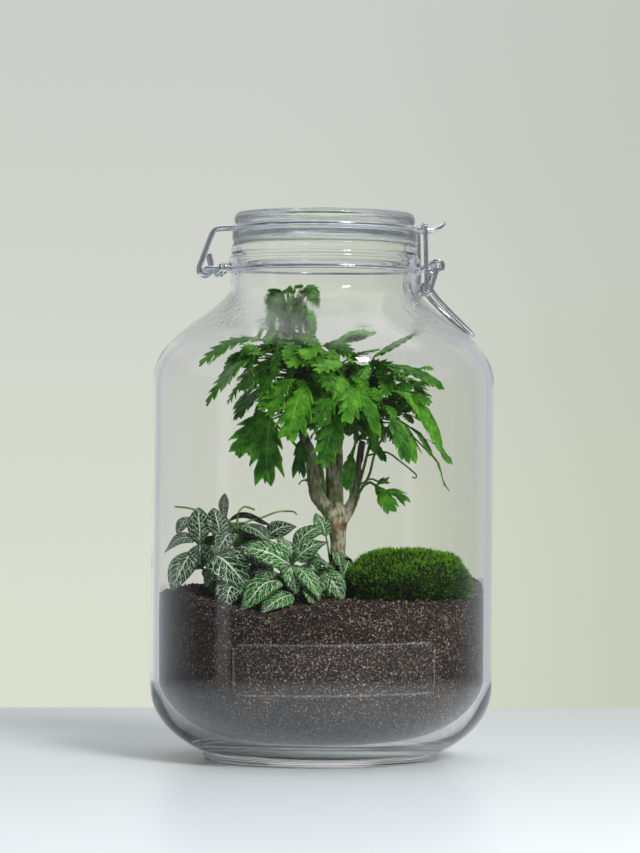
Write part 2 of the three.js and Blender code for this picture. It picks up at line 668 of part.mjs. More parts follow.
function alongStem(stations, height) {
  const above = stations.findIndex(([, , z]) => z >= height);
  const next = above < 1 ? (above === 0 ? 1 : stations.length - 1) : above;
  const [from, to] = [stations[next - 1], stations[next]];
  const share = THREE.MathUtils.clamp((height - from[2]) / (to[2] - from[2]), 0, 1);
  return vec(...from.slice(0, 3)).lerp(vec(...to.slice(0, 3)), share);
}

function treeLeaf(stations, leaf, number) {
  const [base, tip] = [vec(...leaf.base), vec(...leaf.tip)];
  const middle = base.clone().lerp(tip, 0.5);
  const outward = vec(middle.x - CROWN_AXIS.x, middle.y - CROWN_AXIS.y, 0).setLength(0.75);
  const facing = outward.add(vec(0, 0, 0.8)).normalize();
  const skew = 0.09 * Math.sin(number * 2.4);
  return leafSolid({
    from: alongStem(stations, leaf.root),
    base,
    tip,
    width: leaf.width,
    arch: leaf.arch,
    facing,
    roll: THREE.MathUtils.degToRad(leaf.roll),
    outline: lobedOutline(leaf.lobes, skew),
    fold: 0.16,
  });
}

function makeLeafyStem(stations, leaves) {
  const green = stem(stations, 6);
  return joined([green, ...leaves.map((leaf, number) => treeLeaf(stations, leaf, number))]);
}

// Green stems of the crown. Each starts on the end of its woody stem, which it meets face to face
const LEFT_STEM = [
  [-11.75, 4.55, 175.5, 1.9],
  [-14.2, 3.8, 186, 1.8],
  [-16.2, 3.2, 201, 1.7],
  [-17.6, 3, 217, 1.5],
  [...LEFT_TOP, 1],
];
const CENTRE_STEM = [
  [7.2, 13.8, 190.5, 1.9],
  [7.8, 13.4, 203, 1.7],
  [...BACK_TOP, 1.1],
];
const RIGHT_STEM = [
  [21.7, 8, 171.6, 1.7],
  [23.6, 8, 186, 1.6],
  [25, 8.2, 198, 1.4],
  [...RIGHT_TOP, 1],
];
const SPRIG_STEM = [
  [21.4, 7.4, 146.2, 0.9],
  [23.6, 5.6, 147.6, 0.8],
  [25.8, 3.8, 148.8, 0.7],
];

// Nerve plants: stems that stand in holes in the soil, with pairs of oval leaves
const NERVE_PLANTS = {
  nerve_plant_left: {
    stem: [[-58, -8, 84, 1.3], [-59, -9, 96, 1.2], [-61, -11, 108, 1.1], [-63, -12, 119, 0.9]],
    leaves: [
      { root: 108, base: [-68, -14, 118], tip: [-81, -14, 116], width: 7.5, arch: 4 },
      { root: 117, base: [-64, -15, 117], tip: [-65, -19, 134], width: 8.5, arch: 1 },
      { root: 104, base: [-68, -15, 113], tip: [-83, -20, 104], width: 9, arch: 5 },
      { root: 102, base: [-66, -20, 109], tip: [-77, -31, 91], width: 11, arch: 3 },
      { root: 112, base: [-59, -18, 114], tip: [-58, -28, 103], width: 7, arch: 3 },
      { root: 118, base: [-62, -6, 122], tip: [-66, 11, 127], width: 8, arch: 3 },
      { root: 106, base: [-64, 0, 110], tip: [-70, 18, 104], width: 9, arch: 4 },
    ],
  },
  nerve_plant_middle: {
    stem: [[-42, -24, 84, 1.3], [-43, -24, 96, 1.2], [-44, -25, 110, 1.1], [-44, -25, 124, 0.9]],
    leaves: [
      { root: 104, base: [-49, -32, 112], tip: [-43, -55, 96], width: 12, arch: 5 },
      { root: 100, base: [-49, -38, 100], tip: [-57, -56, 90], width: 8.5, arch: 3 },
      { root: 122, base: [-48, -26, 128], tip: [-51, -30, 141], width: 7, arch: 1 },
      { root: 120, base: [-39, -25, 128], tip: [-27, -25, 131], width: 7, arch: 3 },
      { root: 113, base: [-48, -18, 120], tip: [-45, 0, 128], width: 8.5, arch: 3 },
      { root: 110, base: [-38, -14, 117], tip: [-32, 6, 116], width: 9, arch: 4 },
      { root: 116, base: [-39, -31, 121], tip: [-31, -44, 119], width: 8, arch: 3 },
    ],
  },
  nerve_plant_front: {
    stem: [[-19, -48, 82, 1.3], [-19, -48, 92, 1.2], [-18.5, -48, 101, 0.9]],
    leaves: [
      { root: 98, base: [-23, -51, 105], tip: [-34, -58, 114], width: 9, arch: 3 },
      { root: 99, base: [-14, -47, 107], tip: [1, -47, 117], width: 10, arch: 2 },
      { root: 93, base: [-23, -56, 94], tip: [-42, -68, 85], width: 10.5, arch: 4 },
      { root: 92, base: [-18, -60, 93], tip: [-26, -75, 83], width: 9, arch: 4 },
      { root: 95, base: [-12, -54, 99], tip: [0, -66, 89], width: 8.5, arch: 4 },
      { root: 99, base: [-18, -55, 101], tip: [-15, -65, 93], width: 5.5, arch: 3 },
      { root: 97, base: [-15, -38, 106], tip: [-17, -22, 123], width: 10, arch: 3 },
    ],
  },
  nerve_plant_right: {
    stem: [[3, -26, 84, 1.2], [4, -27, 95, 1.1], [5, -28, 104, 0.9]],
    leaves: [
      { root: 100, base: [5, -35, 101], tip: [8, -50, 90], width: 6.5, arch: 4 },
      { root: 98, base: [0, -35, 100], tip: [-4, -52, 90], width: 8, arch: 3 },
      { root: 102, base: [7, -20, 108], tip: [13, -8, 109], width: 6.5, arch: 2 },
      { root: 96, base: [-3, -20, 101], tip: [-10, -8, 104], width: 7.5, arch: 3 },
    ],
  },
};

function nerveLeaf(stations, leaf) {
  const [base, tip] = [vec(...leaf.base), vec(...leaf.tip)];
  const foot = alongStem(stations, stations[0][2]);
  const middle = base.clone().lerp(tip, 0.5);
  const outward = vec(middle.x - foot.x, middle.y - foot.y, 0).setLength(0.55);
  const facing = outward.add(vec(0, -0.35, 0.8)).normalize();
  return leafSolid({
    from: alongStem(stations, leaf.root),
    base,
    tip,
    width: leaf.width,
    arch: leaf.arch,
    facing,
    roll: 0,
    outline: ovalOutline(),
    fold: 0.2,
  });
}

function makeNervePlant({ stem: stations, leaves }) {
  return joined([stem(stations, 6), ...leaves.map((leaf) => nerveLeaf(stations, leaf))]);
}

function makeStemHole({ stem: stations }) {
  const [foot, above] = [vec(...stations[0].slice(0, 3)), vec(...stations[1].slice(0, 3))];
  const along = above.clone().sub(foot).normalize();
  const hole = [foot.clone().addScaledVector(along, -GAP), above.clone().addScaledVector(along, 6)];
  return wire(hole, stations[0][3] + GAP, 8);
}

// Assembly: the jar and its closure on the axis, the planting turned together inside it
function makeTerrarium() {
  const terrarium = new THREE.Group();
  terrarium.add(
    part('jar_glass', makeJarGlass(), MATERIALS.glass),
    part('neck_band', makeNeckBand(), MATERIALS.wire),
    part('lid_glass', makeLid(), MATERIALS.glass),
    part('lid_seal', makeSeal(), MATERIALS.seal),
    part('lid_bail', makeLidBail(), MATERIALS.wire),
    part('clasp_link', makeLink(), MATERIALS.wire),
    part('clasp_lever', makeLever(), MATERIALS.wire),
  );
  const turn = (body) => body.rotate([0, 0, THREE.MathUtils.radToDeg(PLANTING_TURN)]);
  const holes = [makeTrunkHole(), makeMossShape(GAP), ...Object.values(NERVE_PLANTS).map(makeStemHole)];
  terrarium.add(part('soil', makeSoil(holes.map(turn)), MATERIALS.soil));

  const planting = new THREE.Group();
  planting.rotation.z = PLANTING_TURN;
  planting.add(
    part('tree_trunk', makeTrunk(), MATERIALS.bark),
    part('tree_leaves_left', makeLeafyStem(LEFT_STEM, LEFT_LEAVES), MATERIALS.leaf),
    part('tree_leaves_centre', makeLeafyStem(CENTRE_STEM, CENTRE_LEAVES), MATERIALS.leaf),
    part('tree_leaves_right', makeLeafyStem(RIGHT_STEM, RIGHT_LEAVES), MATERIALS.leaf),
    part('tree_sprig', makeLeafyStem(SPRIG_STEM, SPRIG_LEAVES), MATERIALS.leaf),
    part('moss_cushion', makeMossShape(0), MATERIALS.moss),
  );
  for (const [name, plant] of Object.entries(NERVE_PLANTS)) {
    planting.add(part(name, makeNervePlant(plant), MATERIALS.veined));
  }
  terrarium.add(planting);
  return terrarium;
}

export default makeTerrarium();
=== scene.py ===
"""Glass plant terrarium: its finishes and finer shapes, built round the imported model.

The jar, lid, seal and wires are turned and bent anew at the sizes of the model, with round sections.
The tree, the nerve plants, the moss and the soil are grown in the places of their plain solids.
Metres, +Z up, the hinge at -X and the clasp at +X. The sub-assemblies are sized in millimetres, and MM turns
them into metres. Finishes and studio are in metres.
"""

import logging
import math
from dataclasses import dataclass, field
from enum import Enum
from typing import Callable, Iterable, Sequence

import bpy
import numpy as np
from mathutils import Matrix, Vector, noise


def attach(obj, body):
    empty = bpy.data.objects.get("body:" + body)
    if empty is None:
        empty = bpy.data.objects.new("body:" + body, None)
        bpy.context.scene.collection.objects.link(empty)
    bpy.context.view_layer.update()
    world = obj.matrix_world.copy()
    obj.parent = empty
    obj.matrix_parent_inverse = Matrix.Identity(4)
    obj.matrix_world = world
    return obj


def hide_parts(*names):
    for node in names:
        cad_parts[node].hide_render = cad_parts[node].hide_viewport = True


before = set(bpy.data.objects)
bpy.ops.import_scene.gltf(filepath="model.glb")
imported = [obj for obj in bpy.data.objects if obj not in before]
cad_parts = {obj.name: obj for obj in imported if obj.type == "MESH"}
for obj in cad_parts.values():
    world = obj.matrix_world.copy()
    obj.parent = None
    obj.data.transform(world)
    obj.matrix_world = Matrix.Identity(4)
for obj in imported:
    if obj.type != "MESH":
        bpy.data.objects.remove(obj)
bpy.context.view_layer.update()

log = logging.getLogger("terrarium")
MM = 0.001

Object = bpy.types.Object
Mesh = bpy.types.Mesh
Node = bpy.types.Node
Socket = bpy.types.NodeSocket
Material = bpy.types.Material
Pair = tuple[float, float]
Point = tuple[float, float, float]
Route = Sequence[Sequence[float]]

# The planting is turned a little against the closure, and so is the side the jar is seen from
PLANTING_TURN = math.radians(-5.5)
JAR_RADIUS = 92.0
GLASS = 4.0
INSIDE = JAR_RADIUS - GLASS
SOIL_CLEARANCE = 0.35
SEED = 11
# Each small leaf or shoot stands this much further round than the last
GOLDEN_TURN = 2.399963
# A nerve leaf's side veins: how many, and how far and how bent they sweep forward
SIDE_VEINS = 7.0
VEIN_SWEEP = 0.3
VEIN_BEND = 0.85


class Body(Enum):
    """The bodies of the model that the pieces ride on."""

    JAR = "jar"
    LID = "lid"
    LINK = "link"
    LEVER = "lever"


class Slot(Enum):
    """The record's material slots."""

    GLASS = "jar_glass"
    SEAL = "seal"
    WIRE = "wire"
    SOIL = "soil"
    BARK = "bark"
    TREE_LEAF = "tree_leaf"
    VEINED_LEAF = "veined_leaf"
    MOSS = "moss"


# Bench work: selecting, modifiers, joining


def deselect() -> None:
    """Leaves nothing selected."""
    bpy.ops.object.select_all(action="DESELECT")


def pick(obj: Object) -> None:
    """Selects one object alone and makes it active.

    Args:
        obj: The object to work on.
    """
    deselect()
    obj.select_set(True)
    bpy.context.view_layer.objects.active = obj


def linked(name: str, data: bpy.types.ID) -> Object:
    """Puts new data in the scene as an object at the origin.

    Args:
        name: The object's name.
        data: A mesh, a curve, a lamp or a camera.

    Returns:
        The new object.
    """
    obj = bpy.data.objects.new(name, data)
    bpy.context.scene.collection.objects.link(obj)
    return obj


def apply_modifier(obj: Object, kind: str, **settings: object) -> None:
    """Adds a modifier to an object and applies it.

    Args:
        obj: The object.
        kind: The modifier's type, such as SOLIDIFY.
        settings: Values for the modifier's own settings.
    """
    pick(obj)
    modifier = obj.modifiers.new(kind.title(), kind)
    for key, value in settings.items():
        setattr(modifier, key, value)
    bpy.ops.object.modifier_apply(modifier=modifier.name)


def joined(objects: Sequence[Object], name: str) -> Object:
    """Joins objects into the first of them.

    Args:
        objects: The objects, at least one.
        name: The name of the result.

    Returns:
        The joined object.
    """
    deselect()
    for obj in objects:
        obj.select_set(True)
    bpy.context.view_layer.objects.active = objects[0]
    if len(objects) > 1:
        bpy.ops.object.join()
    objects[0].name = name
    objects[0].data.name = name
    return objects[0]


def smooth(obj: Object, degrees: float = 40) -> None:
    """Shades an object smooth, with its edges sharper than an angle kept.

    Args:
        obj: The object.
        degrees: The largest angle that is still smooth.
    """
    pick(obj)
    bpy.ops.object.shade_smooth_by_angle(angle=math.radians(degrees))


def places(mesh: Mesh) -> np.ndarray:
    """The vertices of a mesh as rows of x, y and z.

    Args:
        mesh: The mesh.

    Returns:
        One row for each vertex.
    """
    flat = np.empty(len(mesh.vertices) * 3)
    mesh.vertices.foreach_get("co", flat)
    return flat.reshape(-1, 3)


def put(mesh: Mesh, rows: np.ndarray) -> None:
    """Moves the vertices of a mesh to rows of x, y and z."""
    mesh.vertices.foreach_set("co", rows.astype(np.float32).ravel())
    mesh.update()


def finished(obj: Object, body: Body, nodes: Iterable[str] = ()) -> None:
    """Sets what a piece rides on and the nodes it stands for, and reports it.

    Args:
        obj: The piece, with its material.
        body: The body that it moves with.
        nodes: Nodes of the model that it replaces.
    """
    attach(obj, body.value)
    if nodes:
        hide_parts(*nodes)
    log.info("%s: %d faces on %s", obj.name, len(obj.data.polygons), body.value)


# Shapes that several sub-assemblies use


def bezier(ends: Sequence[Pair], steps: int) -> list[Pair]:
    """Points on a cubic curve in a plane.

    Args:
        ends: Start, two control points and end.
        steps: How many stretches it has.

    Returns:
        The points, both ends included.
    """
    a, b, c, d = (np.array(end) for end in ends)
    points = []
    for t in np.linspace(0, 1, steps + 1):
        s = 1 - t
        points.append(tuple(s**3 * a + 3 * s * s * t * b + 3 * s * t * t * c + t**3 * d))
    return points


def rounded(points: Route, radius: float, steps: int = 6) -> list[Vector]:
    """A route whose inner corners are rounded.

    Args:
        points: The corners of the route, in two or three dimensions.
        radius: How far from a corner the rounding reaches, where there is room.
        steps: Stretches in each rounding.

    Returns:
        The points of the rounded route.
    """
    corners = [Vector(point) for point in points]
    route = [corners[0]]
    for before, corner, after in zip(corners, corners[1:], corners[2:]):
        reach = min(radius, (before - corner).length * 0.45, (after - corner).length * 0.45)
        start = corner + (before - corner).normalized() * reach
        end = corner + (after - corner).normalized() * reach
        for t in np.linspace(0, 1, steps + 1):
            route.append(start.lerp(corner, t).lerp(corner.lerp(end, t), t))
    route.append(corners[-1])
    return route


def arc_xz(centre: Pair, y: float, radius: float, turn: Pair, steps: int) -> list[Vector]:
    """Points on a circle in a plane y = constant.

    Args:
        centre: The circle's x and z.
        y: The plane.
        radius: The circle's radius.
        turn: First and last angle in degrees, from +X towards +Z.
        steps: How many stretches it has.

    Returns:
        The points.
    """
    angles = np.radians(np.linspace(turn[0], turn[1], steps + 1))
    return [Vector((centre[0] + radius * math.cos(a), y, centre[1] + radius * math.sin(a))) for a in angles]


def arc_xy(radius: float, z: float, turn: Pair, steps: int) -> list[Vector]:
    """Points on a level circle round the jar's axis, from one angle in degrees to another."""
    angles = np.radians(np.linspace(turn[0], turn[1], steps + 1))
    return [Vector((radius * math.cos(a), radius * math.sin(a), z)) for a in angles]


def helix_y(centre: Pair, span: Pair, radius: float, turns: float) -> list[Vector]:
    """Points on a helix round an axis along Y.

    Args:
        centre: The axis's x and z.
        span: The y of the first and of the last point.
        radius: The helix's radius.
        turns: How many turns it makes.

    Returns:
        The points.
    """
    count = int(24 * turns)
    route = []
    for k in range(count + 1):
        angle = 2 * math.pi * turns * k / count
        y = span[0] + (span[1] - span[0]) * k / count
        route.append(Vector((centre[0] + radius * math.cos(angle), y, centre[1] + radius * math.sin(angle))))
    return route


def helix_x(centre: Pair, span: Pair, radius: float, turns: float) -> list[Vector]:
    """Points on a helix round an axis along X.

    Args:
        centre: The axis's y and z.
        span: The x of the first and of the last point.
        radius: The helix's radius.
        turns: How many turns it makes.

    Returns:
        The points.
    """
    return [
        Vector((point.y, centre[0] + point.x, centre[1] + point.z))
        for point in helix_y((0, 0), span, radius, turns)
    ]


def tubes(name: str, routes: Sequence[Route], radius: float, roundness: int = 3) -> Object:
    """Round closed tubes along routes in millimetres, as one mesh.

    Args:
        name: The name of the object.
        routes: The routes; a point may have a fourth number, its share of the radius.
        radius: The tubes' radius in millimetres.
        roundness: Blender's bevel resolution: 0 gives 4 sides, each step gives 2 more.

    Returns:
        The mesh object.
    """
    curve = bpy.data.curves.new(name, "CURVE")
    curve.dimensions = "3D"
    curve.bevel_depth = radius * MM
    curve.bevel_resolution = roundness
    curve.use_fill_caps = True
    for route in routes:
        spline = curve.splines.new("POLY")
        spline.points.add(len(route) - 1)
        for point, place in zip(spline.points, route):
            point.co = (place[0] * MM, place[1] * MM, place[2] * MM, 1)
            point.radius = place[3] if len(place) > 3 else 1
    obj = linked(name, curve)
    pick(obj)
    bpy.ops.object.convert(target="MESH")
    obj = bpy.context.view_layer.objects.active
    bpy.ops.object.mode_set(mode="EDIT")
    bpy.ops.mesh.select_all(action="SELECT")
    bpy.ops.mesh.remove_doubles(threshold=0.00001)
    bpy.ops.mesh.normals_make_consistent(inside=False)
    bpy.ops.object.mode_set(mode="OBJECT")
    smooth(obj, 60)
    return obj


def spun(name: str, profile: Route, steps: int, sharp: float = 40) -> Object:
    """A profile of radius and height in millimetres, spun round the jar's axis.

    Args:
        name: The name of the object.
        profile: Its points, which start and end on the axis, or come round to the first point.
        steps: How many steps the full turn has.
        sharp: The largest angle in degrees that is shaded smooth.

    Returns:
        The closed mesh object.
    """
    mesh = bpy.data.meshes.new(name)
    edges = [(k, k + 1) for k in range(len(profile) - 1)]
    mesh.from_pydata([(radius * MM, 0, height * MM) for radius, height in profile], edges, [])
    obj = linked(name, mesh)
    pick(obj)
    bpy.ops.object.mode_set(mode="EDIT")
    bpy.ops.mesh.select_all(action="SELECT")
    bpy.ops.mesh.spin(steps=steps, angle=2 * math.pi, center=(0, 0, 0), axis=(0, 0, 1))
    bpy.ops.mesh.select_all(action="SELECT")
    bpy.ops.mesh.remove_doubles(threshold=0.000002)
    bpy.ops.mesh.normals_make_consistent(inside=False)
    bpy.ops.object.mode_set(mode="OBJECT")
    smooth(obj, sharp)
    return obj


def planted(rows: np.ndarray) -> np.ndarray:
    """Turns rows of x, y and z from the planting's own directions into the model's."""
    c, s = math.cos(PLANTING_TURN), math.sin(PLANTING_TURN)
    return rows @ np.array([[c, s, 0], [-s, c, 0], [0, 0, 1]])


def polar(rows: np.ndarray) -> tuple[np.ndarray, np.ndarray]:
    """Each row's distance from the jar's axis, and its angle round it."""
    return np.hypot(rows[:, 0], rows[:, 1]), np.arctan2(rows[:, 1], rows[:, 0])


def turn_in(obj: Object) -> Object:
    """Turns a piece's mesh from the planting's own directions into the model's."""
    put(obj.data, planted(places(obj.data)))
    return obj


def smoothed(stations: Route, steps: int) -> list[tuple[float, ...]]:
    """A smooth route through stations of x, y, z and radius.

    Args:
        stations: The stations.
        steps: Stretches between two stations.

    Returns:
        The finer stations.
    """
    rows = np.array(stations, float)
    padded = np.vstack([2 * rows[0] - rows[1], rows, 2 * rows[-1] - rows[-2]])
    route = []
    for a, b, c, d in zip(padded, padded[1:], padded[2:], padded[3:]):
        for t in np.linspace(0, 1, steps, endpoint=False):
            route.append(tuple(0.5 * (2 * b + (c - a) * t + (2 * a - 5 * b + 4 * c - d) * t**2
                                      + (3 * b - a - 3 * c + d) * t**3)))
    route.append(tuple(rows[-1]))
    return route


def station_at(stations: Route, height: float) -> np.ndarray:
    """The point of a stem at a height, between its stations.

    Args:
        stations: The stem's stations.
        height: The height, in millimetres.

    Returns:
        The point's x, y and z.
    """
    rows = np.array(stations, float)[:, :3]
    above = int(np.clip(np.searchsorted(rows[:, 2], height), 1, len(rows) - 1))
    low, high = rows[above - 1], rows[above]
    share = np.clip((height - low[2]) / (high[2] - low[2]), 0, 1)
    return low + (high - low) * share


def smoothed_profile(outline: Sequence[Pair], steps: int) -> list[Pair]:
    """A finer profile through the points of an outline, which never passes the axis."""
    return [(max(r, 0), z) for r, z in smoothed(outline, steps)]


def add_tip(mesh: Mesh, values: np.ndarray) -> None:
    """Stores how near each vertex is to its shoot's tip, from 0 to 1."""
    mesh.attributes.new("tip", "FLOAT", "POINT").data.foreach_set("value", values.astype(np.float32))


# Finishes


@dataclass
class Recipe:
    """The node tree of a material or the world under construction, with short ways to add its nodes."""

    tree: bpy.types.NodeTree

    def __post_init__(self) -> None:
        """Empties the node tree."""
        self.tree.nodes.clear()

    def add(self, kind: str, inputs: dict | None = None, **settings: object) -> Node:
        """Adds a node.

        Args:
            kind: The node's type after ShaderNode.
            inputs: Values or output sockets for its inputs, by name or number.
            settings: Values for the node's own settings.

        Returns:
            The node.
        """
        node = self.tree.nodes.new("ShaderNode" + kind)
        for key, value in settings.items():
            setattr(node, key, value)
        for key, value in (inputs or {}).items():
            if isinstance(value, Socket):
                self.tree.links.new(value, node.inputs[key])
            else:
                node.inputs[key].default_value = value
        return node

    def coords(self) -> Socket:
        """The piece's Object coordinates, in metres."""
        return self.add("TexCoord").outputs["Object"]

    def axes(self) -> tuple[Socket, Socket, Socket]:
        """The piece's own x, y and z, each for itself."""
        return tuple(self.add("SeparateXYZ", {0: self.coords()}).outputs)

    def across_and_along(self) -> tuple[Socket, Socket]:
        """The two parts of the piece's UV map."""
        parts = self.add("SeparateXYZ", {0: self.add("UVMap", uv_map="UVMap").outputs[0]}).outputs
        return parts[0], parts[1]

    def math(self, operation: str, *values: object) -> Socket:
        """The result of a Math node with these inputs, numbers or sockets."""
        return self.add("Math", dict(enumerate(values)), operation=operation).outputs[0]

    def plus(self, first: object, second: object) -> Socket:
        """A sum."""
        return self.math("ADD", first, second)

    def minus(self, first: object, second: object) -> Socket:
        """A difference."""
        return self.math("SUBTRACT", first, second)

    def times(self, first: object, second: object) -> Socket:
        """A product."""
        return self.math("MULTIPLY", first, second)

    def larger(self, first: object, second: object) -> Socket:
        """The larger of two values."""
        return self.math("MAXIMUM", first, second)

    def off(self, value: object, middle: float = 0) -> Socket:
        """How far a value lies off a middle, on either side."""
        return self.math("ABSOLUTE", self.minus(value, middle))

    def noise(self, scale: float, detail: float = 3, rough: float = 0.55, height_scale: float = 1) -> Socket:
        """A noise pattern on the piece's Object coordinates.

        Args:
            scale: Cells per metre.
            detail: Octaves.
            rough: How strong the fine octaves are.
            height_scale: Cells per metre up the piece against those across it.

        Returns:
            The pattern, about 0 to 1.
        """
        where = self.coords()
        if height_scale != 1:
            where = self.add("Mapping", {"Vector": where, "Scale": (1, 1, height_scale)}).outputs[0]
        inputs = {"Vector": where, "Scale": scale, "Detail": detail, "Roughness": rough}
        return self.add("TexNoise", inputs).outputs["Fac"]

    def ramp(self, value: Socket, stops: Sequence[tuple[float, Sequence[float]]]) -> Socket:
        """Colours along a value.

        Args:
            value: What is looked up.
            stops: Places from 0 to 1, each with its linear colour.

        Returns:
            The colour.
        """
        node = self.add("ValToRGB", {0: value})
        elements = node.color_ramp.elements
        while len(elements) < len(stops):
            elements.new(0.5)
        for element, (place, colour) in zip(elements, stops):
            element.position = place
            element.color = (*colour, 1)
        return node.outputs[0]

    def band(self, value: Socket, low: float, high: float, to: Pair = (0, 1)) -> Socket:
        """A smooth step: from to[0] at low to to[1] at high."""
        inputs = {0: value, 1: low, 2: high, 3: to[0], 4: to[1]}
        return self.add("MapRange", inputs, interpolation_type="SMOOTHSTEP").outputs[0]

    def blend(self, share: object, first: object, second: object) -> Socket:
        """A mix of two colours: first where share is 0, second where it is 1."""
        return self.add("Mix", {0: share, 6: first, 7: second}, data_type="RGBA").outputs[2]

    def bump(self, height: Socket, depth: float, strength: float = 1) -> Socket:
        """A normal from a height pattern of a depth in metres."""
        return self.add("Bump", {"Height": height, "Distance": depth, "Strength": strength}).outputs[0]

    def mixed(self, share: object, first: Node, second: Node) -> Node:
        """A mix of two shaders: the first where share is 0, the second where it is 1."""
        return self.add("MixShader", {0: share, 1: first.outputs[0], 2: second.outputs[0]})


@dataclass(frozen=True)
class Finish:
    """A finish of its own name; each kind says how its shader is made."""

    name: str

    def shader(self, recipe: Recipe) -> Node:
        """Makes the finish's shader.

        Args:
            recipe: The node tree that it is made in.

        Returns:
            The shader's last node.
        """
        raise NotImplementedError

    def material(self) -> Material:
        """Makes the material from the finish's own shader.

        Returns:
            The material.
        """
        material = bpy.data.materials.new(self.name)
        material.use_nodes = True
        recipe = Recipe(material.node_tree)
        recipe.add("OutputMaterial", {"Surface": self.shader(recipe).outputs[0]})
        return material

    def put_on(self, obj: Object) -> None:
        """Makes the finish the only one of a piece."""
        obj.data.materials.clear()
        obj.data.materials.append(self.material())


@dataclass(frozen=True)
class ClearGlass(Finish):
    """Soda-lime glass with faint ripples. Light reaches what is inside through its shadow."""

    tint: Point = (0.998, 1.0, 0.992)
    passed: Point = (0.95, 0.965, 0.96)
    ripple: float = 0.00005
    ripples_per_metre: float = 38
    haze: float = 0.012
    index: float = 1.5
    pressed_from: Pair = (0.222, 0.232)
    pressed_to: Pair = (0.243, 0.252)
    pressed_sides: Pair = (0.03, 0.055)
    pressed_grain: float = 4.0

    def shader(self, recipe: Recipe) -> Node:
        """Makes the shader: rippled, with a pressed grain on the neck's root, mostly at its sides.

        Args:
            recipe: The node tree that it is made in.

        Returns:
            The shader's last node.
        """
        x, _, z = recipe.axes()
        zone = recipe.times(recipe.band(z, *self.pressed_from), recipe.band(z, *self.pressed_to, (1, 0)))
        pressed = recipe.times(zone, recipe.band(recipe.off(x), *self.pressed_sides, (0.15, 1)))
        grain = recipe.times(recipe.noise(380, 3, 0.6, 1.8), pressed)
        ripples = recipe.noise(self.ripples_per_metre, 1.5, height_scale=0.6)
        swell = recipe.math("MULTIPLY_ADD", grain, self.pressed_grain, ripples)
        glass = recipe.add("BsdfPrincipled", {
            "Base Color": (*self.tint, 1),
            "Roughness": recipe.band(recipe.noise(55, 4), 0.45, 0.8, (0.0, self.haze)),
            "IOR": self.index,
            "Transmission Weight": 1.0,
            "Normal": recipe.bump(swell, self.ripple),
        })
        clear = recipe.add("BsdfTransparent", {"Color": (*self.passed, 1)})
        path = recipe.add("LightPath").outputs
        return recipe.mixed(recipe.larger(path["Is Shadow Ray"], path["Is Diffuse Ray"]), glass, clear)


@dataclass(frozen=True)
class SealRubber(Finish):
    """Milky, nearly clear seal rubber."""

    name: str = "seal_rubber"
    colour: Point = (0.78, 0.8, 0.79)

    def shader(self, recipe: Recipe) -> Node:
        """Makes the shader.

        Args:
            recipe: The node tree that it is made in.

        Returns:
            The shader's last node.
        """
        grain = recipe.noise(900, 2)
        return recipe.add("BsdfPrincipled", {
            "Base Color": (*self.colour, 1),
            "Roughness": recipe.band(grain, 0.3, 0.7, (0.3, 0.45)),
            "IOR": 1.42,
            "Transmission Weight": 0.75,
            "Normal": recipe.bump(grain, 0.00002),
        })


@dataclass(frozen=True)
class BrightWire(Finish):
    """Drawn and zinc-plated steel wire: bright, with duller patches and a fine grain."""

    name: str = "bright_wire"
    bright: Point = (0.9, 0.93, 0.98)
    dull: Point = (0.7, 0.74, 0.8)

    def shader(self, recipe: Recipe) -> Node:
        """Makes the shader.

        Args:
            recipe: The node tree that it is made in.

        Returns:
            The shader's last node.
        """
        patches = recipe.noise(210, 3, 0.5)
        return recipe.add("BsdfPrincipled", {
            "Base Color": recipe.ramp(patches, [(0.32, self.dull), (0.62, self.bright)]),
            "Metallic": 0.88,
            "Roughness": recipe.band(patches, 0.35, 0.7, (0.2, 0.11)),
            "Normal": recipe.bump(patches, 0.00002, 0.25),
        })


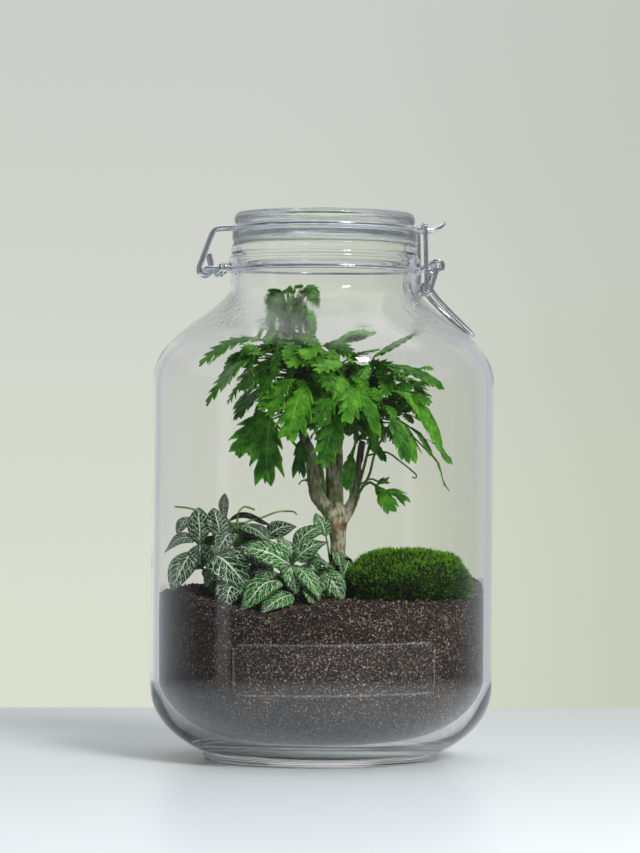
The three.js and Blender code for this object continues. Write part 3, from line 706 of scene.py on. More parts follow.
@dataclass(frozen=True)
class PottingSoil(Finish):
    """Dark crumbly soil with scattered paler grains."""

    cells_per_metre: float = 1650
    lift: float = 1.0
    # Dark soaked colour, also the painted shade on the soil's left side
    wet_and_shaded: Point = (0.008, 0.006, 0.005)
    # Colour and heights of the painted reflection of the table near the floor
    painted_reflection: Point = (0.13, 0.145, 0.165)
    painted_reflection_below: Pair = (0.014, 0.05)
    shade_side: Pair = (-0.09, -0.045)

    def shader(self, recipe: Recipe) -> Node:
        """Makes the shader: single grains, moister patches with painted shade darker to the left, and a
        painted pale reflection near the floor.

        Args:
            recipe: The node tree that it is made in.

        Returns:
            The shader's last node.
        """
        where = recipe.coords()
        warp = recipe.add("TexNoise", {"Vector": where, "Scale": 600.0, "Detail": 2.0}).outputs["Color"]
        shifted = recipe.add("MixRGB", {0: 0.0006, 1: where, 2: warp}, blend_type="ADD").outputs[0]
        cells = recipe.add("TexVoronoi", {"Vector": shifted, "Scale": self.cells_per_metre})
        each = recipe.add("SeparateColor", {0: cells.outputs["Color"]})
        grains = recipe.ramp(each.outputs[0], [(share, self.raised(colour)) for share, colour in (
            (0.0, (0.007, 0.0048, 0.004)),
            (0.45, (0.015, 0.0098, 0.008)),
            (0.66, (0.035, 0.023, 0.018)),
            (0.8, (0.085, 0.058, 0.046)),
            (0.92, (0.2, 0.15, 0.125)),
            (1.0, (0.46, 0.39, 0.34)),
        )])
        x, _, z = recipe.axes()
        # Random moist patches, plus painted shade that darkens the left side
        damp_and_shade = recipe.plus(recipe.noise(48), recipe.band(x, *self.shade_side, (0.35, 0)))
        mottled = recipe.blend(recipe.band(damp_and_shade, 0.35, 0.95, (0.0, 0.85)), grains, (*self.wet_and_shaded, 1))
        # Painted reflection: the pale table, mirrored in the glass's lower corner, greys the soil near the
        # floor
        colour = recipe.blend(recipe.band(z, *self.painted_reflection_below, (0.32, 0)), mottled, (*self.painted_reflection, 1))
        return recipe.add("BsdfPrincipled", {
            "Base Color": colour,
            "Roughness": recipe.band(each.outputs[1], 0.1, 0.9, (0.65, 0.98)),
            "Normal": recipe.bump(cells.outputs["Distance"], 0.0006, 0.8),
        })

    def raised(self, colour: Point) -> Point:
        """A colour made lighter by the finish's lift."""
        return tuple(min(part * self.lift, 1) for part in colour)


@dataclass(frozen=True)
class GreyBark(Finish):
    """Smooth grey-brown bark with green algae and a reddish collar at the fork."""

    name: str = "grey_bark"
    collar: float = 0.1253
    collar_colour: Point = (0.3, 0.15, 0.075)
    stump_x: float = 0.0078
    fork: Pair = (0.128, 0.145)

    def shader(self, recipe: Recipe) -> Node:
        """Makes the shader: bark darker in its grooves, partly with painted shade, algae in patches and on
        the limbs above the fork, and the collar.

        Args:
            recipe: The node tree that it is made in.

        Returns:
            The shader's last node.
        """
        ridges = recipe.noise(620, 4, 0.6, 0.28)
        # The bark's colour follows the ridges of its bump: partly its own darker fissures, partly painted
        # shade in the grooves and painted highlight on the ridges
        bark = recipe.ramp(ridges, [
            (0.32, (0.045, 0.036, 0.021)),
            (0.42, (0.27, 0.235, 0.15)),
            (0.56, (0.52, 0.48, 0.35)),
            (0.7, (0.72, 0.69, 0.56)),
        ])
        patches = recipe.noise(105, 4, 0.65)
        x, _, z = recipe.axes()
        beside = recipe.band(recipe.off(x, self.stump_x), 0.004, 0.009)
        limb = recipe.times(beside, recipe.band(z, *self.fork))
        share = recipe.larger(recipe.band(patches, 0.48, 0.64, (0, 0.8)), recipe.times(limb, 0.72))
        green = recipe.ramp(patches, [(0.4, (0.03, 0.04, 0.012)), (0.6, (0.1, 0.16, 0.025))])
        wavy = recipe.plus(z, recipe.times(patches, 0.002))
        red = recipe.band(recipe.off(wavy, self.collar), 0.0007, 0.003, (0.7, 0))
        return recipe.add("BsdfPrincipled", {
            "Base Color": recipe.blend(red, recipe.blend(share, bark, green), (*self.collar_colour, 1)),
            "Roughness": recipe.band(ridges, 0.2, 0.8, (0.9, 0.62)),
            "Normal": recipe.bump(ridges, 0.0006, 0.9),
        })


@dataclass(frozen=True)
class GreenStem(Finish):
    """Young green stem, in streaks of younger green and of older, darker and browner green."""

    young: Point = (0.1, 0.24, 0.03)
    old: Point = (0.045, 0.075, 0.018)

    def shader(self, recipe: Recipe) -> Node:
        """Makes the shader.

        Args:
            recipe: The node tree that it is made in.

        Returns:
            The shader's last node.
        """
        tone = recipe.noise(160, height_scale=0.4)
        return recipe.add("BsdfPrincipled", {
            "Base Color": recipe.ramp(tone, [(0.36, self.old), (0.6, self.young)]),
            "Roughness": recipe.band(tone, 0.3, 0.7, (0.55, 0.4)),
            "Normal": recipe.bump(recipe.noise(1500, 2, height_scale=0.2), 0.0001),
        })


@dataclass(frozen=True)
class GlossyLeaf(Finish):
    """Bright green lobed leaf. Across the blade its UV map runs from 0 to 1, along it by lobes."""

    deep: Point
    middle: Point
    bright: Point
    vein: Point
    painted_light_above: Pair = (0.15, 0.215)

    def shader(self, recipe: Recipe) -> Node:
        """Makes the shader: each blade has its own tone, painted light makes the crown's top brighter, and
        thin pale veins.

        Args:
            recipe: The node tree that it is made in.

        Returns:
            The shader's last node.
        """
        across, along = recipe.across_and_along()
        side = recipe.off(recipe.times(across, 2.0), 1.0)
        branch = recipe.band(recipe.off(recipe.math("FRACT", along), 0.6), 0.02, 0.1, (1, 0))
        faint = recipe.times(branch, recipe.band(side, 0.3, 1.0, (0.75, 0.1)))
        veins = recipe.larger(recipe.band(side, 0.03, 0.11, (1, 0)), faint)
        own = recipe.add("Attribute", attribute_name="tone").outputs["Fac"]
        # Painted light: leaves higher up the crown are lighter
        lit = recipe.band(recipe.axes()[2], *self.painted_light_above, (-0.12, 0.16))
        tone = recipe.plus(recipe.math("MULTIPLY_ADD", own, 0.5, 0.25), lit)
        fine = recipe.noise(900)
        broad = recipe.noise(190, 3, 0.6)
        uneven = recipe.plus(tone, recipe.band(broad, 0.3, 0.7, (-0.28, 0.28)))
        green = recipe.ramp(uneven, [(0.1, self.deep), (0.55, self.middle), (0.95, self.bright)])
        edged = recipe.blend(recipe.band(side, 0.75, 1.0, (0, 0.4)), green, (*self.bright, 1))
        mottled = recipe.blend(recipe.band(fine, 0.35, 0.75, (0, 0.4)), edged, (*self.deep, 1))
        colour = recipe.blend(recipe.times(veins, 0.3), mottled, (*self.vein, 1))
        hills = recipe.plus(recipe.minus(fine, veins), recipe.times(broad, 2.5))
        leaf = recipe.add("BsdfPrincipled", {
            "Base Color": colour,
            "Roughness": recipe.band(fine, 0.3, 0.7, (0.24, 0.4)),
            "Normal": recipe.bump(hills, 0.0003, 0.9),
        })
        through = recipe.add("BsdfTranslucent", {"Color": recipe.blend(0.5, colour, (*self.vein, 1))})
        return recipe.mixed(0.25, leaf, through)


@dataclass(frozen=True)
class VeinedLeaf(Finish):
    """Dark green leaf with a white net: a midrib, side veins that sweep forward and a fine mesh between."""

    blade: Point
    shade: Point
    vein: Point

    def shader(self, recipe: Recipe) -> Node:
        """Makes the shader: a midrib, and a net whose cells follow the rows of side veins.

        Args:
            recipe: The node tree that it is made in.

        Returns:
            The shader's last node.
        """
        across, along = recipe.across_and_along()
        signed = recipe.minus(recipe.times(across, 2.0), 1.0)
        side = recipe.off(signed)
        rib = recipe.band(side, 0.015, 0.06, (1, 0))
        swept = recipe.minus(along, recipe.times(recipe.math("POWER", side, VEIN_BEND), VEIN_SWEEP))
        lift = recipe.times(recipe.noise(260, 1), 0.5)
        rows = recipe.plus(recipe.times(swept, SIDE_VEINS), lift)
        branch = recipe.band(recipe.off(recipe.math("FRACT", rows), 0.5), 0.026, 0.06, (1, 0))
        cell = recipe.add("CombineXYZ", {
            0: recipe.times(rows, 1.15), 1: recipe.times(signed, 2.6), 2: recipe.times(lift, 6.0),
        })
        net = recipe.add("TexVoronoi", {"Vector": cell.outputs[0], "Scale": 1.0}, feature="DISTANCE_TO_EDGE")
        mesh = recipe.band(net.outputs["Distance"], 0.014, 0.042, (0.9, 0))
        lines = recipe.times(recipe.larger(branch, mesh), recipe.band(side, 0.8, 0.97, (1, 0.25)))
        veins = recipe.larger(rib, lines)
        tone = recipe.band(recipe.noise(120, 2), 0.35, 0.65)
        green = recipe.blend(tone, (*self.shade, 1), (*self.blade, 1))
        colour = recipe.blend(veins, green, (*self.vein, 1))
        return recipe.add("BsdfPrincipled", {
            "Base Color": colour,
            "Roughness": recipe.band(veins, 0, 1, (0.42, 0.6)),
            "Specular IOR Level": 0.2,
            "Normal": recipe.bump(recipe.minus(1.0, veins), 0.00028, 0.9),
        })


@dataclass(frozen=True)
class MossGreen(Finish):
    """Moss: dark with painted shade between the shoots, bright at their tips, in clumps of slightly different
    green.
    """

    # Painted shade: the near-black colour of the core and of the shoots' feet
    core: Point = (0.004, 0.01, 0.002)
    dark: Point = (0.04, 0.14, 0.006)
    bright: Point = (0.24, 0.58, 0.02)
    painted_light_above: Pair = (0.088, 0.106)

    def shader(self, recipe: Recipe) -> Node:
        """Makes the shader: clumps, painted light on top of the cushion, and painted shade that darkens all
        but the shoots' tips.

        Args:
            recipe: The node tree that it is made in.

        Returns:
            The shader's last node.
        """
        tip = recipe.add("Attribute", attribute_name="tip").outputs["Fac"]
        strand = recipe.noise(1300, 2)
        # Painted light: brighter on top of the cushion, over clumps of random tone
        height = recipe.band(recipe.axes()[2], *self.painted_light_above, (-0.2, 0.08))
        clumps_and_top_light = recipe.plus(recipe.noise(95), height)
        spots = recipe.plus(clumps_and_top_light, recipe.band(recipe.noise(420, 2), 0.35, 0.65, (-0.14, 0.14)))
        green = recipe.ramp(spots, [(0.34, self.dark), (0.62, self.bright)])
        mixed = recipe.blend(recipe.band(strand, 0.4, 0.7, (0, 0.6)), green, (*self.dark, 1))
        # Painted shade: darkest at the shoots' feet and on the core, lighter towards the tips
        colour = recipe.blend(recipe.band(tip, 0.0, 0.75), (*self.core, 1), mixed)
        return recipe.add("BsdfPrincipled", {
            "Base Color": colour,
            "Roughness": recipe.band(strand, 0.3, 0.7, (0.6, 0.85)),
            "Normal": recipe.bump(strand, 0.0002, 0.6),
        })


@dataclass(frozen=True)
class ClearFilm(Finish):
    """Clear label film, or its slightly milky cut edge."""

    milky: float

    def shader(self, recipe: Recipe) -> Node:
        """Makes the shader.

        Args:
            recipe: The node tree that it is made in.

        Returns:
            The shader's last node.
        """
        grain = recipe.noise(700, 2)
        film = recipe.add("BsdfPrincipled", {
            "Base Color": (0.85, 0.87, 0.9, 1),
            "Roughness": recipe.band(grain, 0.3, 0.7, (0.12, 0.28)),
        })
        clear = recipe.add("BsdfTransparent", {"Color": (1, 1, 1, 1)})
        return recipe.mixed(self.milky, clear, film)


@dataclass(frozen=True)
class PaleTable(Finish):
    """Pale bluish table top, with painted shade that turns it soft grey towards its rim."""

    name: str = "table_top"
    # Painted shade at the table's rim: its colour, and the reach where it starts and ends
    rim: Point = (0.12, 0.125, 0.13)
    rim_shade_from: Pair = (0.46, 0.64)

    def shader(self, recipe: Recipe) -> Node:
        """Makes the shader.

        Args:
            recipe: The node tree that it is made in.

        Returns:
            The shader's last node.
        """
        x, y, _ = recipe.axes()
        flat = recipe.add("CombineXYZ", {0: x, 1: y})
        reach = recipe.add("VectorMath", {0: flat.outputs[0]}, operation="LENGTH").outputs["Value"]
        pale = recipe.ramp(recipe.noise(300), [(0.3, (0.72, 0.77, 0.815)), (0.7, (0.74, 0.79, 0.83))])
        # Painted shade: the top turns soft grey towards its rim
        return recipe.add("BsdfPrincipled", {
            "Base Color": recipe.blend(recipe.band(reach, *self.rim_shade_from, (0, 0.85)), pale, (*self.rim, 1)),
            "Roughness": 0.34,
        })


@dataclass(frozen=True)
class BackdropPaper(Finish):
    """Paper that glows with painted light: warmer and lighter towards its foot and its left side."""

    name: str = "backdrop_paper"
    heights: Pair = (-0.166, 0.764)
    sides: Pair = (0.125, 0.807)

    def shader(self, recipe: Recipe) -> Node:
        """Makes the shader.

        Args:
            recipe: The node tree that it is made in.

        Returns:
            The shader's last node.
        """
        x, _, z = recipe.axes()
        # Painted light: the glow is warmer and lighter low down and to the left
        across = recipe.band(x, *self.sides)
        low = recipe.blend(across, (0.7, 0.735, 0.63, 1), (0.565, 0.6, 0.48, 1))
        high = recipe.blend(across, (0.605, 0.62, 0.585, 1), (0.55, 0.568, 0.525, 1))
        glow = recipe.blend(recipe.band(z, *self.heights), low, high)
        return recipe.add("Emission", {"Color": glow, "Strength": 1.0})


# Sub-assemblies


@dataclass
class JarGlass:
    """The jar: foot ring, rounded lower corner, straight wall, shoulder, neck with a bead, and two seams."""

    steps: int = 192
    seam_turn: float = math.radians(-50.3)
    seam_height: float = 0.1
    foot_radius: float = 62.5
    foot_inner: float = 56.0
    foot_edge: Pair = (64.8, 4.4)
    wall_low: float = 40.0
    inner_low: float = 42.0
    wall_top: float = 202.0
    shoulder: Pair = (75.0, 230.4)
    neck: float = 50.2
    neck_root: Pair = (50.4, 253.0)
    bead: Pair = (51.8, 266.9)
    mouth: float = 45.6
    mouth_top: float = 276.2
    floor_top: float = 9.2

    def shoulder_line(self) -> list[Pair]:
        """The outer profile from the top of the wall over the shoulder to the root of the neck.

        Returns:
            Points of radius and height.
        """
        upper = [(JAR_RADIUS, self.wall_top), (JAR_RADIUS, 214), (84.5, 223), self.shoulder]
        root = [self.shoulder, (63, 239.7), (51.5, 246.5), self.neck_root]
        return [*bezier(upper, 20), *bezier(root, 24)[1:]]

    def outside(self) -> list[Pair]:
        """The outer half of the profile, from the middle of the foot to the mouth.

        Returns:
            Points of radius and height.
        """
        lower = [self.foot_edge, (80.7, 12.1), (JAR_RADIUS, 23), (JAR_RADIUS, self.wall_low)]
        ring, height = self.bead
        foot = rounded([
            (0, 3.4), (self.foot_inner - 6, 2.6), (self.foot_inner, 0), (self.foot_radius, 0), self.foot_edge,
        ], 1.6, 4)
        neck = rounded([
            self.neck_root, (self.neck, height - 4), (ring, height - 1.4), (ring, height + 1.4),
            (self.neck, height + 4), (self.neck, self.mouth_top - 0.2), (self.neck - 2, self.mouth_top),
        ], 1.4, 5)
        wall = [(JAR_RADIUS, z) for z in np.linspace(self.wall_low, self.wall_top, 24)[1:-1]]
        return [*foot[:-1], *bezier(lower, 18), *wall, *self.shoulder_line()[:-1], *neck]

    def corner(self) -> list[Pair]:
        """The inner lower corner, from the floor up to the wall."""
        return bezier([(60, 10.4), (74, 14.6), (INSIDE, 26), (INSIDE, self.inner_low)], 18)

    def inside(self) -> list[Pair]:
        """The inner half of the profile, from the mouth down to the middle of the floor.

        Returns:
            Points of radius and height.
        """
        mouth = rounded([
            (self.mouth + 1.6, self.mouth_top), (self.mouth, self.mouth_top - 0.6), (self.mouth, 254),
        ], 1, 4)
        line = np.array(self.shoulder_line())
        along = np.gradient(line, axis=0)
        along /= np.hypot(along[:, 0], along[:, 1])[:, None]
        thick = np.interp(line[:, 1], (self.wall_top, line[-1, 1]), (GLASS, line[-1, 0] - self.mouth))
        shoulder = line + np.stack([-along[:, 1], along[:, 0]], 1) * thick[:, None]
        wall = [(INSIDE, z) for z in np.linspace(self.wall_top, self.inner_low, 24)[1:-1]]
        return [*mouth, *shoulder[::-1].tolist(), *wall, *reversed(self.corner()), (0, self.floor_top)]

    def build(self) -> None:
        """Spins the jar, raises its seams and dresses it."""
        jar = spun("jar", [*self.outside(), *self.inside()], self.steps, 50)
        rows = places(jar.data)
        radius, turn = polar(rows)
        step = 2 * math.pi / self.steps
        outer = (radius > (self.neck - 0.5) * MM) & (rows[:, 2] > 6 * MM) & (rows[:, 2] < 240 * MM)
        outer &= (radius > (JAR_RADIUS - 0.5) * MM) | (rows[:, 2] > 228 * MM)
        for seam in (self.seam_turn, self.seam_turn + math.pi):
            off = np.abs((turn - seam + math.pi) % (2 * math.pi) - math.pi)
            lift = np.where(outer & (off < 0.6 * step), self.seam_height * MM, 0)
            rows[:, :2] *= (1 + lift / np.maximum(radius, 0.01))[:, None]
        put(jar.data, rows)
        ClearGlass("jar_glass").put_on(jar)
        finished(jar, Body.JAR, ["jar_glass"])


@dataclass
class Lid:
    """The lid: a pressed glass disc with a flange, a groove for the bail and a knurled stacking ring."""

    steps: int = 288
    flange: float = 49.9
    flange_bottom: float = 278.3
    flange_top: float = 283.2
    groove: float = 47.4
    disc: float = 48.8
    well: float = 290.6
    top: float = 293.5
    knurls: int = 96
    knurl_height: float = 0.28
    seal_radii: Pair = (44.2, 49.2)
    seal_heights: Pair = (276.5, 278.0)
    seal_start: float = 46.5

    def build(self) -> None:
        """Spins the lid, cuts its knurl and dresses it."""
        low, high = self.flange_bottom, self.flange_top
        under = [(0, low + 2.2), (42, low + 2), (43.6, low)]
        edge = [(self.flange, low), (self.flange, high), (self.groove, high)]
        wall = [(self.groove, 286.9), (self.disc, 288), (self.disc, 291.4)]
        ring = [(47.2, self.top), (41, self.top), (39, self.well), (0, self.well)]
        lid = spun("lid", rounded([*under, *edge, *wall, *ring], 0.9, 5), self.steps, 50)
        rows = places(lid.data)
        radius, turn = polar(rows)
        on_top = (rows[:, 2] > (self.top - 0.4) * MM) & (radius > 45.6 * MM)
        rows[:, 2] -= np.where(on_top, self.knurl_height * MM * (0.5 - 0.5 * np.cos(turn * self.knurls)), 0)
        put(lid.data, rows)
        ClearGlass("lid_glass", tint=(0.95, 0.972, 0.98), ripple=0.00008).put_on(lid)
        finished(lid, Body.LID, ["lid_glass"])

    def seal(self) -> None:
        """Spins the seal, a flat ring with rounded edges."""
        (inner, outer), (low, high) = self.seal_radii, self.seal_heights
        start = (self.seal_start, low)
        section = [start, (inner, low), (inner, high), (outer, high), (outer, low), start]
        seal = spun("seal", rounded(section, 0.6, 4), 128, 60)
        SealRubber().put_on(seal)
        finished(seal, Body.LID, ["lid_seal"])


@dataclass
class WireClosure:
    """The wire closure: neck band, lid bail, link and lever, each bent from round wire."""

    wire: float = 1.25
    band_radius: float = 51.9
    band_height: float = 262.5
    bail_radius: float = 49.3
    bail_height: float = 285.0
    hinge: Pair = (-64.3, 262.5)
    hinge_leg: float = 12.0
    wrap_span: Pair = (-53.4, -58.1)
    wrap_radius: float = 2.25
    hook_y: float = 6.5
    hook_radius: float = 3.2
    eye: Pair = (60.3, 265.5)
    eye_y: float = 10.05
    eye_radius: float = 2.9
    lever_y: float = 12.9
    coil: Pair = (53.8, 252.8)
    coil_radius: float = 2.7
    link_x: float = 52.8
    link_y: float = 15.75
    nose_y: float = 7.0
    corner: float = 2.8
    finish: Material = field(init=False)

    def bend(self, name: str, routes: Sequence[Route], body: Body, node: str) -> None:
        """Bends a wire, gives it its finish, sets the body it moves with and hides the node that it replaces.

        Args:
            name: The name of the piece.
            routes: The wire's routes.
            body: The body that it moves with.
            node: The node that it replaces.
        """
        wire = tubes(name, routes, self.wire, 4)
        wire.data.materials.append(self.finish)
        finished(wire, body, [node])

    def neck_band(self) -> None:
        """Bends the ring round the neck, its hinge loop with wrapped legs, and the two eyes."""
        ring = arc_xy(self.band_radius, self.band_height, (0, 360), 144)
        root = -math.sqrt(self.band_radius**2 - self.hinge_leg**2)
        z = self.band_height
        loop = rounded([
            (root, -self.hinge_leg, z),
            (self.hinge[0], -self.hinge_leg, z),
            (self.hinge[0], self.hinge_leg, z),
            (root, self.hinge_leg, z),
        ], self.corner, 8)
        routes = [ring, loop]
        base = math.sqrt(self.band_radius**2 - self.eye_y**2)
        for side in (-1, 1):
            routes.append(helix_x((side * self.hinge_leg, z), self.wrap_span, self.wrap_radius, 2))
            y = side * self.eye_y
            entry = arc_xz(self.eye, y, self.eye_radius, (126, 0), 4)[0]
            routes.append([
                *rounded([(base - 0.4, y, z), (base + 3, y, z + 2.2), entry], 1.5, 5),
                *arc_xz(self.eye, y, self.eye_radius, (120, -150), 26),
            ])
        self.bend("band_wire", routes, Body.JAR, "neck_band")

    def bail_half(self, side: int) -> list[Vector]:
        """The bail's route on one side, from the end of its hook to its nose.

        Args:
            side: -1 or 1.

        Returns:
            The points.
        """
        x, z = self.hinge
        hook_turn = math.degrees(math.asin(self.hook_y / self.bail_radius))
        nose_turn = math.degrees(math.asin(self.nose_y / self.bail_radius))
        hook_y = side * self.hook_y
        climb = rounded([
            (x - self.hook_radius, hook_y, z + 1.5),
            (-60, hook_y, self.bail_height - 0.7),
            (-52.5, hook_y, self.bail_height),
        ], 6, 10)
        turn = (side * (180 - hook_turn), side * (nose_turn + 1))
        around = arc_xy(self.bail_radius, self.bail_height, turn, 80)
        nose = rounded([
            around[-1],
            (51.5, side * self.nose_y, self.bail_height - 0.1),
            (58, side * (self.nose_y - 0.6), self.bail_height),
            (62, side * (self.nose_y - 2), self.bail_height + 1.6),
            (64.4, side * (self.nose_y - 4.4), self.bail_height + 3.6),
        ], 2, 5)
        return [
            Vector((x + 1.7, hook_y, z + 8)),
            Vector((x + 3, hook_y, z + 3)),
            *arc_xz(self.hinge, hook_y, self.hook_radius, (-10, -180), 16),
            *climb,
            *around[:-1],
            *nose,
        ]

    def lid_bail(self) -> None:
        """Bends the bail round the lid, hooked on the hinge loop at one end, with its nose at the other."""
        route = [*self.bail_half(-1), *reversed(self.bail_half(1))]
        self.bend("bail_wire", [route], Body.LID, "lid_bail")

    def link(self) -> None:
        """Bends the link that hangs on the nose and ends beside the lever's coils."""
        top = self.bail_height + 2 * self.wire + 0.3
        foot = self.coil[1] - 0.6
        route = rounded([
            (self.coil[0], -self.link_y, foot),
            (self.link_x, -self.link_y, top),
            (self.link_x, self.link_y, top),
            (self.coil[0], self.link_y, foot),
        ], self.corner, 8)
        self.bend("link_wire", [route], Body.LINK, "clasp_link")

    def lever(self) -> None:
        """Bends the lever: a thumb loop over the shoulder, a coil each side and pins in the eyes."""
        x, z = self.coil
        y = self.lever_y

        def leg(side: int) -> list[Vector]:
            """The loop's leg on one side, from its coil to the thumb end.

            Args:
                side: -1 or 1.

            Returns:
                The points.
            """
            return rounded([
                (x + self.coil_radius - 0.2, side * y, z + 0.6),
                (58.4, side * y, 249.8),
                (63.2, side * (y - 0.4), 244.6),
                (69, side * (y - 1.6), 239),
                (74.8, side * (y - 4), 233.8),
                (79.2, side * (y - 6.6), 230.1),
                (80.7, side * (y - 9.8), 228.8),
            ], 3, 5)

        routes = [[*leg(-1), *reversed(leg(1))]]
        for side in (-1, 1):
            routes.append(rounded([
                (self.eye[0], side * (self.eye_y - 2), self.eye[1]),
                (self.eye[0], side * y, self.eye[1]),
                (x + self.coil_radius, side * y, z + 0.2),
            ], 2, 6))
            routes.append(helix_y(self.coil, (side * (y - 0.25), side * (y + 0.25)), self.coil_radius, 1))
        self.bend("lever_wire", routes, Body.LEVER, "clasp_lever")

    def build(self) -> None:
        """Bends and dresses the four wires."""
        self.finish = BrightWire().material()
        self.neck_band()
        self.lid_bail()
        self.link()
        self.lever()


@dataclass
class FilmLabel:
    """A bare clear film on the front of the jar, rounded at its corners and faintly milky along its edge."""

    centre: float = math.radians(-90.3)
    arc: float = 112.0
    height: float = 27.0
    middle: float = 52.8
    rise: float = 0.014
    corner: float = 4.5
    lift: float = 0.09
    thickness: float = 0.06
    milky_margin: Pair = (1.3, 1.2)

    def wrapped(self, obj: Object) -> None:
        """Wraps a flat mesh in x and z round the jar's wall.

        Args:
            obj: The piece, flat and in millimetres.
        """
        rows = places(obj.data)
        turn = self.centre + rows[:, 0] / JAR_RADIUS
        radius = JAR_RADIUS + self.lift + rows[:, 1]
        height = self.middle + rows[:, 2] + rows[:, 0] * self.rise
        put(obj.data, np.stack([radius * np.cos(turn), radius * np.sin(turn), height], 1) * MM)

    def build(self) -> None:
        """Cuts the film, gives it its thickness and wraps it on."""
        bpy.ops.mesh.primitive_grid_add(x_subdivisions=96, y_subdivisions=24, size=1)
        sheet = bpy.context.object
        sheet.name = "film_label"
        half = np.array([self.arc / 2, self.height / 2])
        flat = places(sheet.data)[:, :2] * 2 * half
        # Each square corner is drawn in to a round one
        reach = half - self.corner
        over = np.maximum(np.abs(flat) - reach, 0)
        length = np.hypot(over[:, 0], over[:, 1])
        shrink = np.where((over > 0).all(1), over.max(1) / np.maximum(length, 1e-9), 1)[:, None]
        flat = np.sign(flat) * (np.minimum(np.abs(flat), reach) + over * shrink)
        put(sheet.data, np.stack([flat[:, 0], np.zeros(len(flat)), flat[:, 1]], 1))
        apply_modifier(sheet, "SOLIDIFY", thickness=self.thickness, offset=0)
        for film in (ClearFilm("label_film", 0.008), ClearFilm("label_edge", 0.045)):
            sheet.data.materials.append(film.material())
        half_x, half_z = half - self.milky_margin
        for face in sheet.data.polygons:
            at_edge = abs(face.center.x) > half_x or abs(face.center.z) > half_z
            face.material_index = int(at_edge or abs(face.normal.y) < 0.5)
        self.wrapped(sheet)
        smooth(sheet, 50)
        finished(sheet, Body.JAR)


@dataclass
class SoilBed:
    """The soil: a bed that fills the jar's lower part, and loose grains on top of it."""

    level: float = 88.0
    level_below: float = 40.0
    steps: int = 300
    rings: int = 74
    grains: int = 3200
    grain_margin: float = 1.6
    crumbs: float = 0.42
    mounds: tuple = (
        (9, 78, 14, 20), (5, -45, 30, 26), (2.5, 9, 10, 18), (-8, -34, -80, 20), (-1.5, 40, -60, 25),
    )

    def height(self, x: np.ndarray, y: np.ndarray) -> np.ndarray:
        """The soil's level: waves, with a mound or a dip for each row of rise, x, y and spread.

        Args:
            x: Places in millimetres, in the planting's own directions.
            y: The same places' y.

        Returns:
            The level in millimetres.
        """
        waves = 0.5 * np.sin(x * 0.31 + 1.3) * np.cos(y * 0.27) + 0.35 * np.sin(x * 0.17 - y * 0.41)
        level = self.level + waves
        for rise, middle_x, middle_y, spread in self.mounds:
            level = level + rise * np.exp(-((x - middle_x) ** 2 + (y - middle_y) ** 2) / (2 * spread**2))
        return level

    def bed(self, corner: Sequence[Pair]) -> None:
        """Spins the bed and roughens it.

        Args:
            corner: The jar's inner lower corner.
        """
        edge = INSIDE - SOIL_CLEARANCE
        side = [(radius - SOIL_CLEARANCE, height + SOIL_CLEARANCE) for radius, height in corner]
        wall = [(edge, z) for z in np.linspace(side[-1][1], self.level - 0.5, 40)[1:]]
        top = [(edge * k / self.rings, self.level) for k in range(self.rings, -1, -1)]
        bed = spun("soil_bed", [(0, side[0][1]), *side, *wall, *top], self.steps, 80)
        rows = places(bed.data) / MM
        radius, _ = polar(rows)
        crumbs = np.array([noise.fractal(Vector(row) * self.crumbs, 1.0, 2.0, 3) for row in rows])
        raised = np.clip((rows[:, 2] - self.level_below) / (self.level - self.level_below), 0, 1)
        c, s = math.cos(PLANTING_TURN), math.sin(PLANTING_TURN)
        tops = self.height(c * rows[:, 0] + s * rows[:, 1], c * rows[:, 1] - s * rows[:, 0])
        wall_like = rows[:, 2] < self.level - 0.2
        rows[:, 2] = np.where(wall_like, rows[:, 2] + raised * (tops - self.level), tops + 0.75 * crumbs)
        inward = np.where(radius > 20, 0.18 + 0.32 * np.abs(crumbs), 0) / np.maximum(radius, 1)
        rows[:, :2] *= (1 - inward)[:, None]
        put(bed.data, rows * MM)
        PottingSoil("potting_soil").put_on(bed)
        finished(bed, Body.JAR, ["soil"])

    def loose_grains(self) -> None:
        """Scatters angular grains over the bed."""
        rng = np.random.default_rng(SEED)
        bpy.ops.mesh.primitive_ico_sphere_add(subdivisions=1, radius=1)
        grain = bpy.context.object
        shape = places(grain.data)
        faces = np.array([face.vertices[:] for face in grain.data.polygons])
        bpy.data.objects.remove(grain)
        radius = (INSIDE - self.grain_margin) * np.sqrt(rng.random(self.grains))
        turn = rng.random(self.grains) * 2 * math.pi
        x, y = radius * np.cos(turn), radius * np.sin(turn)
        size = 0.35 + 0.75 * rng.random(self.grains) ** 2.2
        corners = shape[None] * (1 + 0.35 * (rng.random((self.grains, len(shape), 1)) - 0.5))
        corners = corners * size[:, None, None] * (0.7 + 0.6 * rng.random((self.grains, 1, 3)))
        z = self.height(x, y) + 0.25 * size
        rows = planted((corners + np.stack([x, y, z], 1)[:, None]).reshape(-1, 3)) * MM
        all_faces = (faces[None] + (np.arange(self.grains) * len(shape))[:, None, None]).reshape(-1, 3)
        mesh = bpy.data.meshes.new("soil_grains")
        mesh.from_pydata(rows.tolist(), [], all_faces.tolist())
        grains = linked("soil_grains", mesh)
        PottingSoil("loose_grains", cells_per_metre=520, lift=1.35).put_on(grains)
        finished(grains, Body.JAR)

    def build(self, corner: Sequence[Pair]) -> None:
        """Builds the bed and its grains."""
        self.bed(corner)
        self.loose_grains()


